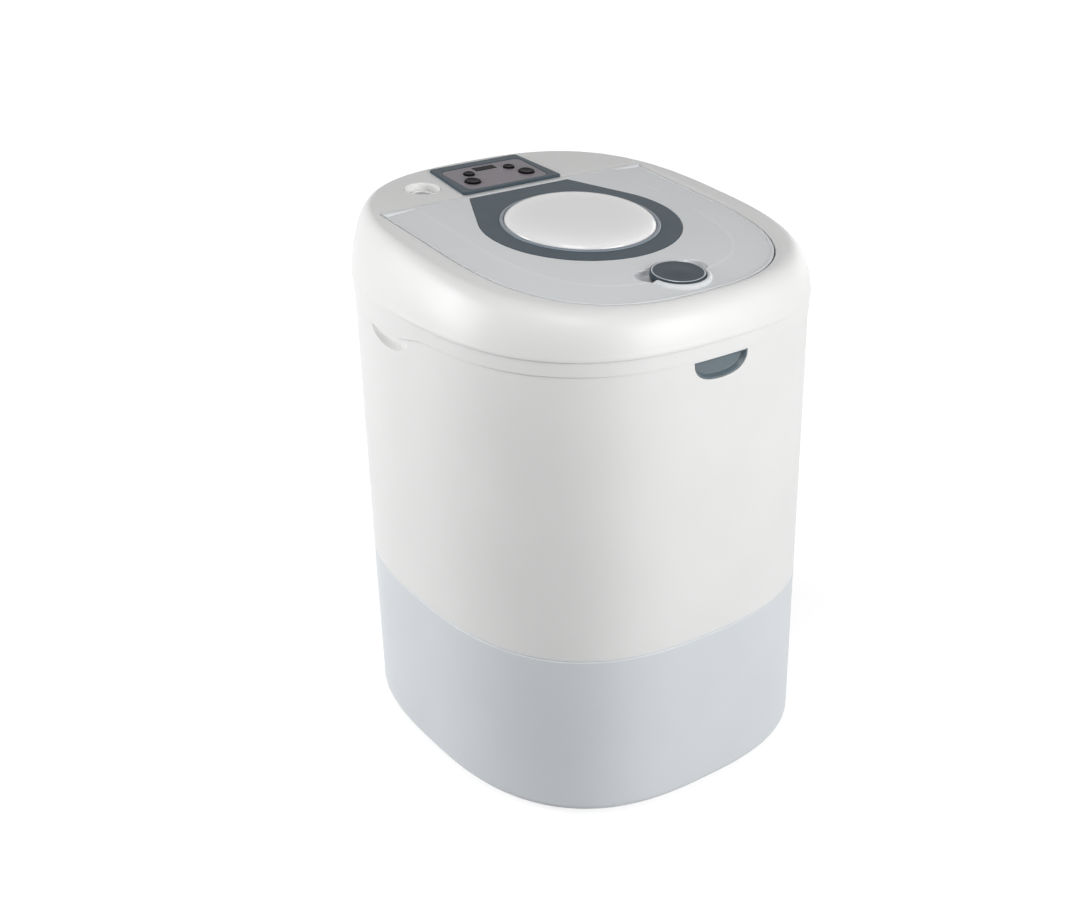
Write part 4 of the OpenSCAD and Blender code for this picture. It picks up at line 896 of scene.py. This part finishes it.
low_rim = [(-0.25, 0, 0, 0), (-0.35, 0.03, 0, 1), (-0.6, 0.12, 1.1, 1), (-0.75, 0.4, 1.45, 1),
           (-0.8, 0.9, 1.5, 1), (-0.8, 5, 1.5, 0.5)]
bead = [(-0.8, -1.7, 1.5), (-0.85, -1.35, 1.46), (-1.1, -1.1, 1.22), (-1.5, -0.95, 0.84),
        (-1.75, -0.7, 0.6), (-1.87, -0.25, 0.48), (-1.9, 0.4, 0.42), (-1.88, 1.4, 0.32),
        (-1.86, 2.6, 0.2)]
rings = [shoulder(t, wall) for t in range(90, 12, -6)]
rings += [outline(2.2, collar_z + 0.4), outline(1.8, collar_z)]
rings += [lipped(off, collar_z + z, out, drop) for off, z, out, drop in low_rim]
rings += [lipped(off, step_z + z, out, share=0.047) for off, z, out in bead]
rings += [shoulder(t) for t in [16.5, 18.5, 21] + list(range(24, 91, 3))]
collar = grow("top_cover", rings)
print("shoulder", len(collar.data.polygons), "faces")

# %% [markdown]
# A tongue locates the frame inside the cabinet. Then the openings are cut: the
# lid's pocket with an eased edge, the seat of the control housing, the inlet
# and the hinge pins. The cutters could be tilted to match the deck, but
# booleans like flat faces that are truly flat, so the frame is laid level for
# cutting and tilted back when it is done.

# %% Openings of the top frame
def lid_outline(off, z, rear=hinge_y, count=144):
    ring = []
    for i in range(count + 1):
        t = pi + pi * i / count
        r = reach(lid_half - off, lid_front - off, lid_square, t)
        ring.append(Vector((r * cos(t), lid_y + r * sin(t), z)) * mm)
    return ring + [Vector((lid_half - off, rear, z)) * mm, Vector((off - lid_half, rear, z)) * mm]


def pin_bores(name, r, inner, outer):
    pins = []
    for side in (-1, 1):
        pins.append(post(name, r, inner, outer, steps=40,
                         matrix=shifted(0, hinge_y, bead_z)
                         @ Matrix.Rotation(radians(90 * side), 4, "Y")))
    return joined(name, pins)


def laid_level(piece):
    place(piece, deck.inverted())
    for v in piece.data.vertices:
        v.co = [round(c, 7) for c in v.co]
    return piece


tongue = grow("tongue", [outline(off, collar_z + z) for off, z in
                         ((3.3, -8), (3.3, 1), (5.3, 1), (5.3, -7.6), (3.3, -8))], closed=False)
carve(collar, tongue, "UNION")
carve(collar, block("badge_room", (-39.5, -260, collar_z - 20), (39.5, -200, collar_z - 0.3)))
laid_level(collar)
pocket = [(-1.2, -18), (-1.2, -2.3), (-1.4, -1.8), (-2.0, -1.5), (-6.6, -0.12), (-7.4, 0.05),
          (-7.4, 12)]
carve(collar, grow("pocket", [lid_outline(off, z, pocket_rear - off - lid_gap)
                              for off, z in pocket]))
carve(collar, turn("inlet_hole", [(0, -20), (inlet_r, -20), (inlet_r, -0.8), (inlet_r + 0.3, -0.2),
                                  (inlet_r + 0.9, 0.05), (inlet_r + 0.9, 10), (0, 10)], 96,
                   (inlet_x, inlet_y, 0)))
panel_y, panel_d = hinge_y + bead_r + 1.4, 84.0
carve(collar, block("panel_seat", (-50, panel_y + 6, -20), (50, panel_y + panel_d - 6, 10)))
carve(collar, pin_bores("bores", 3.0, 153, 174))
hang(place(collar, deck), "cabinet", shell_white, "cabinet_white", "top_frame", angle=36)

# %% [markdown]
# Under the deck hangs the lid's tray, with an ear on each side for the hinge
# pin. A splash ring hangs from the tray and keeps stray water over the tub. The
# ring stands upright while the tray leans with the deck, so its upper end is
# cut off slanting by a tilted box.

# %% Lid tray and splash ring
tray = [(-4.2, -19), (-4.2, -3.4), (-1.2, -3.4), (-1.2, -14.4), (-0.8, -15.5), (0.4, -16)]
well = grow("lid_tray", [lid_outline(off, z, pocket_rear - off - lid_gap) for off, z in tray])
ears = [block("ear", (side * 170.7 - 4, hinge_y - 8, -12), (side * 170.7 + 4, hinge_y + 8, -3.6))
        for side in (-1, 1)]
carve(well, joined("ears", ears), "UNION")
carve(well, grow("pocket", [lid_outline(-lid_gap, -14, pocket_rear),
                            lid_outline(-lid_gap, 12, pocket_rear)]))
carve(well, pin_bores("bores", 3.0, 153, 174))
carve(well, place(post("bore", 114, 470, 620, (0, tub_y), 160), deck.inverted()))
hang(place(well, deck), "cabinet", shell_white, "cabinet_white", "lid_well")
ring = turn("throat_ring", [(114, 560), (114, 478.8), (114.4, 478.2), (115.5, 478), (116.4, 478.2),
                            (117, 478.8), (117, 560)], 160, (0, tub_y, 0))
carve(ring, block("above", (-200, -200, -19), (200, 200, 60), deck))
dx, dy = -inlet_x, tub_y - inlet_y
spout = (shifted(inlet_x, inlet_y, deck_z - 28)
         @ Matrix.Rotation(atan2(dy, dx), 4, "Z") @ Matrix.Rotation(radians(90), 4, "Y"))
spout_z = hypot(dx, dy) - 114
carve(ring, post("spout_hole", 7.3, spout_z - 20, spout_z + 20, steps=40, matrix=spout))
hang(ring, "cabinet", shell_white, "cabinet_white", "splash_ring")

# %% [markdown]
# ## Front tray
# A blunt slate tray sits in the wall's recess. Its inner walls slope, so it is
# grown ring by ring from the same boat outline: the flange behind the wall, the
# rolled mouth, and the smaller floor. An extruded outline would have upright
# walls. The floor is bare.

# %% Front tray
tray = [(-3, -226), (-3, -227.4), (0, -227.6), (0, -230.9), (0.25, -231.15), (0.9, -231.15),
        (1.3, -230.9), (3.6, -226.6), (4.4, -226.3)]


def flange(y, out=2.4):
    """The tray's outline, pushed out sideways and down to make its flange."""
    return [p + Vector(((p.x > 0) - (p.x < 0), 0, -1 if p.z < badge_z * mm - 1e-3 else 0))
            * out * mm for p in boat(0, y)]


badge = grow("front_tray", [boat(off, y) if off >= 0 else flange(y) for off, y in tray])
hang(badge, "cabinet", slate_tint, "slate", "front_badge")

# %% [markdown]
# ## Water inlet
# The supply is screwed onto a threaded stub that stands in a cup let into the
# deck. Cup and stub are one turned section. The thread is a small V wound up
# the stub at 1.8 mm a turn. A bump texture would be cheaper, but it would leave
# the stub's outline straight, and the stub stands in full view.

# %% Inlet cup
at_inlet = deck @ shifted(inlet_x, inlet_y, 0)
cup = turn("inlet_cup", [(8, -24), (19.3, -24), (19.7, -23.6), (19.7, -0.9), (19.4, -0.35),
                         (18.9, -0.2), (18.3, -0.35), (17.9, -0.9), (17.7, -20.5), (17.1, -21.6),
                         (16, -22), (12.3, -22), (12.3, -6.6), (11.8, -6), (10.3, -6), (10, -6.3),
                         (10, -9), (8, -9)], 96, matrix=at_inlet)
thread = place(wound(4, 0.6, (12.4, 0, -20.2), 1.81, 7, 48), at_inlet)
# The cup's lighter white is painted brightness against the shade inside it.
hang(joined("inlet_cup", [cup, thread]), "cabinet", painted_bright_cup_white, "cabinet_white", "inlet_fitting",
     weigh=False)

# %% [markdown]
# In the mouth of the stub lies a strainer that keeps sand out of the valve: a
# shallow turned cap with twelve slots. The slots are twelve bars at equal
# angles, joined and cut out in one boolean, which is quicker than twelve.

# %% Strainer
strainer = turn("strainer", [(0, -8.2), (9.3, -9), (9.9, -8.7), (9.9, -7.6), (9.5, -7.4), (6, -6.7),
                             (3, -6.45), (0, -6.4)], 64, matrix=at_inlet)
slots = []
for i in range(12):
    turned = Matrix.Rotation(radians(30 * i), 4, "Z")
    slots.append(block("slot", (3.2, -0.45, -10), (8.6, 0.45, -4), at_inlet @ turned))
carve(strainer, joined("slots", slots))
hang(strainer, "cabinet", tub_plastic, "inner_plastic", "inlet_filter")

# %% [markdown]
# ## Lid
# The lid is one loft: hollow underside, skirt, a soft outer edge, a gentle
# climb over the border and then the flat plateau. Each row of `sections` is a
# step in from the edge and a height, so the whole section can be read off the
# list, which a chain of insets wouldn't show. A fine bead runs along its edge.
# The collar of the push button, the floors of the two finger hollows and the
# hinge's bead are added to it.

# %% Lid shell
inner_rear = hinge_y - bead_r - skin
sections = [(skin, -5, inner_rear), (skin, -lid_h, inner_rear)]
sections += [(off, z, hinge_y - 0.02 * off) for off, z in
             ((0.4, -lid_h), (0, -13.1), (0, -2.6), (0.1, -1.9), (0.4, -1.4), (0.9, -1.15),
              (1.5, -1.15), (2.0, -1.45), (2.4, -2.05), (3.2, -2.25), (35.2, -0.8), (36.4, -0.62),
              (38.2, -0.1), (39.6, 0))]
lid = grow("lid_cover", [lid_outline(*s) for s in sections])
carve(lid, turn("well_body", [(0, -9), (32.6, -9), (32.6, 0.1), (32.1, 0.8), (30.6, 1.75),
                              (29.9, 1.9), (0, 1.9)], 96, (0, push_y, 0)), "UNION")
for side in (-1, 1):
    carve(lid, post("hollow_body", hollow_r + 3, -9.5, -2.5, (side * hollow_x, hollow_y), 48),
          "UNION")
bead_axis = shifted(0, hinge_y, bead_z) @ Matrix.Rotation(radians(90), 4, "Y")
carve(lid, turn("bead", [(0, -165), (4, -165), (4.4, -164.6), (4.4, 164.6), (4, 165), (0, 165)],
                48, matrix=bead_axis), "UNION")
print("lid", len(lid.data.polygons), "faces")

# %% [markdown]
# The button's well, the finger hollows, the keyhole recess and the hinge
# bores are cut out. A Bevel modifier could round the edges afterwards, but it
# trips over the short edges that booleans leave. So the cutters themselves have
# eased mouths, and each opening gets the small radius of a mould.

# %% Openings of the lid
def keyhole(more, z, count=96):
    r, end_x, end_y = trim_r + more, 63.5 + more, hinge_y - bead_r + 0.2
    side = hypot(end_x, end_y - dome_y)
    lean = acos(r / side) + atan2(end_x, end_y - dome_y)
    points = [(end_x, end_y), (-end_x, end_y)]
    for i in range(count + 1):
        t = pi / 2 + lean + (2 * pi - 2 * lean) * i / count
        points.append((r * cos(t), dome_y + r * sin(t)))
    return [Vector((x, y, z)) * mm for x, y in points]


well = [(0, -20), (8.3, -20), (8.3, -5), (27.8, -5), (27.8, 1.2), (28.1, 1.7), (28.6, 1.92),
        (28.6, 6), (0, 6)]
carve(lid, turn("push_well", well, 96, (0, push_y, 0)))
for side in (-1, 1):
    hollow = ([(0, -7), (hollow_r - 3.5, -7)] + arc(hollow_r - 3.5, -3.5, 3.5, -90, 0, 6)
              + [(hollow_r, -0.5), (hollow_r + 0.4, 0.1), (hollow_r + 1, 0.5), (hollow_r + 1, 6),
                 (0, 6)])
    carve(lid, turn("hollow", hollow, 64, (side * hollow_x, hollow_y, 0)))
carve(lid, grow("recess", [keyhole(*s) for s in
                           ((0.15, -1.7), (0.15, -0.5), (0.3, -0.2), (0.6, 0.05), (0.6, 5))]))
carve(lid, post("dome_opening", dome_r - 6, -20, 10, (0, dome_y), 128))
carve(lid, pin_bores("bores", 3.06, 152.7, 174))
hang(place(lid, deck), "lid", lid_tint, "lid_white", "lid_panel", angle=30)

# %% [markdown]
# The slate keyhole is a sheet with a rounded rim. A disc joined to a wedge
# would leave a kink where they meet, so its outline is computed: a circle, and
# the two straight lines that just touch it. The dome's bezel and the dome
# itself are turned. The cap of a sphere would be the obvious dome, but the real
# one bulges like a cushion, steep at the rim and nearly flat in the middle, so
# its section is a formula of its own.

# %% Trim, bezel and dome
trim = grow("keyhole_trim", [keyhole(*s) for s in
                             ((0, -1.7), (0, -0.1), (-0.1, 0.12), (-0.35, 0.26), (-0.8, 0.3))])
carve(trim, turn("bezel_seat", [(0, -5), (83.5, -5), (83.5, 0.05), (83.7, 0.25), (84, 0.35),
                                (84, 5), (0, 5)], 144, (0, dome_y, 0)))
# The trim's darker slate is painted shade.
hang(place(trim, deck), "lid", slate_painted_shade, "slate", "lid_trim")
bezel = turn("dome_rim", [(79.1, -1.7), (83.3, -1.7), (83.3, 0.2), (83.1, 0.7), (82.6, 1.15),
                          (81.6, 1.5), (80.7, 1.6), (80.1, 1.45), (79.5, 1.0), (79.1, 0.4)],
             144, (0, dome_y, 0), deck)
hang(bezel, "lid", slate_light, "slate", "dome_bezel")


def cushion(r, h, low, count):
    """Half of a cushion's section, from its middle to its rim."""
    turns = [pi / 2 * i / count for i in range(count + 1)]
    return [(r * sin(t), low + (h - low) * max(1 - sin(t) ** 3, 0) ** 0.45)
            for t in turns]


dome = turn("dome_cap", cushion(dome_r - 2.5, dome_h - 2.5, -1.7, 20)
            + cushion(dome_r, dome_h, -1.7, 26)[::-1], 144, (0, dome_y, 0), deck)
hang(dome, "lid", pearl, "pearl", "lid_dome", weigh=False)

# %% [markdown]
# The push button is a slightly domed disc with a rolled edge, and a thin light
# ring is let into it. The ring is a separate piece, as on the machine, because
# a painted band would have no edge to catch the light. Under the disc a stem
# reaches down through the lid.

# %% Push button
button = turn("push_button", [(0, -12.4), (7, -12.4), (8, -11.4), (8, -2.2), (push_r, -2.2),
                              (push_r, 2.4), (27.3, 2.85), (26.8, 3.1), (26.25, 3.1),
                              (26.2, 3.05), (26.2, 2.5), (24.9, 2.5), (24.9, 3.0), (24.6, 3.1),
                              (20, 3.0), (14, 3.1), (7, 3.4), (0, 3.6)], 96, (0, push_y, 0),
              deck)
hang(button, "lid_push", slate_dark, "slate", "lid_button")
ring = turn("push_ring", [(24.9, 2.5), (26.2, 2.5), (26.2, 3.2), (26.0, 3.4), (25.1, 3.4),
                          (24.9, 3.2)], 96, (0, push_y, 0), deck)
hang(ring, "lid_push", bright_steel, "steel", "button_ring")

# %% [markdown]
# ## Control housing
# The controls sit in a shallow slate box whose rim rolls over all round. Its
# plan comes from four rounded corners and is a little narrower at the rear. A
# bevelled box would round its upright and its flat edges by the same amount,
# while grown rings give each its own radius. The seat for the film is let in,
# and the buttons come up through both.

# %% Housing, film and window
def corners(points, r, z, steps=8):
    ring = []
    for i, (x, y) in enumerate(points):
        for k in range(steps + 1):
            t = radians(180 + 90 * i + 90 * k / steps)
            ring.append(Vector((x + r * cos(t), y + r * sin(t), z)) * mm)
    return ring


def panel_plan(off, z, r=4.0):
    a, b = 63.5 - off - r, 57.5 - off - r
    y0, y1 = panel_y + off + r, panel_y + panel_d - off - r
    return corners([(-a, y0), (a, y0), (b, y1), (-b, y1)], r, z)


def fascia_plan(off, z, r=8.0):
    a, y0, y1 = 51.5 - off - r, 124.4 + off + r, 188.4 - off - r
    return corners([(-a, y0), (a, y0), (a, y1), (-a, y1)], r, z)


keys = ((-35, 145.4, 9.0), (35, 145.4, 9.0), (-26, 167.4, 6.3), (26, 167.4, 6.3))
display_y, display_w, display_d = 177.4, 27.0, 11.6
housing = grow("housing", [panel_plan(*s) for s in
                           ((3, 0), (0, 0), (0, 1.3), (0.15, 1.75), (0.5, 2.2), (1.0, 2.43),
                            (1.6, 2.5))])
carve(housing, block("box", (-49.7, panel_y + 6.3, -19.5),
                     (49.7, panel_y + panel_d - 6.3, 0.5)), "UNION")
carve(housing, block("inside", (-47.7, panel_y + 8.3, -21),
                     (47.7, panel_y + panel_d - 8.3, -2.5)))
carve(housing, grow("film_seat", [fascia_plan(*s) for s in
                                  ((-0.2, 0.8), (-0.2, 2.15), (-0.4, 2.4), (-0.7, 2.52),
                                   (-0.7, 6))]))
holes = [post("key_hole", r + gap, -4, 2, (x, y), 48) for x, y, r in keys]
holes += [block("display_hole", (2 - display_w / 2, display_y - 2.75, -4),
                (display_w / 2 - 2, display_y + 4.75, 2))]
carve(housing, joined("holes", holes))
hang(place(housing, deck), "cabinet", slate_painted_shade, "slate", "control_housing")

film_sheet = grow("fascia_film", [fascia_plan(*s) for s in
                                  ((0, 0.8), (0, 1.8), (0.1, 1.95), (0.3, 2.0))])
holes = [turn("key_hole", [(0, -4), (r + gap, -4), (r + gap, 1.8), (r + 0.5, 2.01), (r + 0.5, 6),
                           (0, 6)], 48, (x, y, 0)) for x, y, r in keys]
holes += [block("display_hole", (-display_w / 2, display_y - display_d / 2, -4),
                (display_w / 2, display_y + display_d / 2, 6))]
carve(film_sheet, joined("holes", holes))
hang(place(film_sheet, deck), "cabinet", film, "fascia", "fascia")
window = block("dark_window", (0.05 - display_w / 2, display_y + 0.05 - display_d / 2, 0.8),
               (display_w / 2 - 0.05, display_y - 0.05 + display_d / 2, 2.2))
soften(window, 0.25, 3)
hang(place(window, deck), "cabinet", window_black, "window", "display_window")

# %% [markdown]
# All four buttons are the same turned cap in two sizes, dished for a finger.
# A collar under the housing's face keeps each cap from falling out. The four
# could be one piece, but every cap rides on a body of its own, so that each can
# be pressed alone.

# %% Buttons
def key_cap(name, node, body, x, y, r):
    profile = [(0, -6.1), (2, -6.1), (2, -4.0), (r + 1.5, -4.0), (r + 1.5, -2.8), (r, -2.8),
               (r, 2.9), (r - 0.15, 3.4), (r - 0.5, 3.75), (r - 1.1, 3.9), (r - 1.8, 3.85),
               (r * 0.5, 3.6), (0, 3.5)]
    cap = turn(name, profile, 64, (x, y, 0), deck)
    return hang(cap, body, key_black, "button", node)


names = (("power", "power_key"), ("start", "start_key"), ("program", "program_key"),
         ("level", "level_key"))
for (name, body), (x, y, r) in zip(names, keys):
    key_cap(name + "_cap", name + "_button", body, x, y, r)

# %% [markdown]
# ## Springs
# The tub hangs on four rods, and coil springs at their feet soften its bounce.
# One wire is wound up and copied to the four rods.

# %% Coil springs
rods = [(sx * rod_x, sy * rod_y) for sx, sy in quarters]
spring_foot, spring_h, turns = 108.0, 36.0, 6
coil = wound(12, 1.25, (9.4, 0, 0), (spring_h - 2.6) / turns, turns, 40)
coils = [copy_of(coil, "coil", shifted(x, y, spring_foot + 1.3)) for x, y in rods]
bpy.data.objects.remove(coil)
springs = joined("coil_springs", coils)
springs.data.materials.clear()
springs.data.materials.append(bright_steel)
smooth(springs, 60)
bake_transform(springs)
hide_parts("suspension_springs")
print("springs", len(springs.data.polygons), "faces")

# %% [markdown]
# ## Inner pieces
# The pieces inside the machine keep the engineering model's own shapes, which
# are already exact, and hardly show. Modelling them again would only risk a
# misfit. Each gets the finish of its material.

# %% Finishes for the inner pieces
inner = {
    tub_plastic: ("outer_tub", "tub_cover", "inlet_valve", "pressure_sensor", "lid_switch",
                  "drain_valve", "rod_seats"),
    lid_tint: ("lid_liner",),
    basket_plastic: ("basket", "balance_ring", "lint_filter", "pulsator"),
    board_green: ("control_board",),
    rubber_black: ("tub_seal", "drain_hose", "drive_belt"),
    bright_steel: ("hinge_pins", "suspension_rods", "main_bearings", "spin_tube", "wash_shaft",
                   "pulsator_screw"),
    zinc_plate: ("rod_brackets", "rod_nuts", "support_frame", "motor_rotor", "capacitor"),
    cast_alloy: ("bearing_housing", "hub_flange", "driven_pulley", "motor_pulley", "motor_body"),
}
for finish, names in inner.items():
    for name in names:
        node = bpy.data.objects[name]
        node.data.materials.clear()
        node.data.materials.append(finish)
print("inner pieces:", sum(len(names) for names in inner.values()))

# %% [markdown]
# ## Last steps
# The picture shows colours as they are written, so the view transform is Standard.

# %% Finish
bpy.context.scene.view_settings.view_transform = "Standard"
deselect()
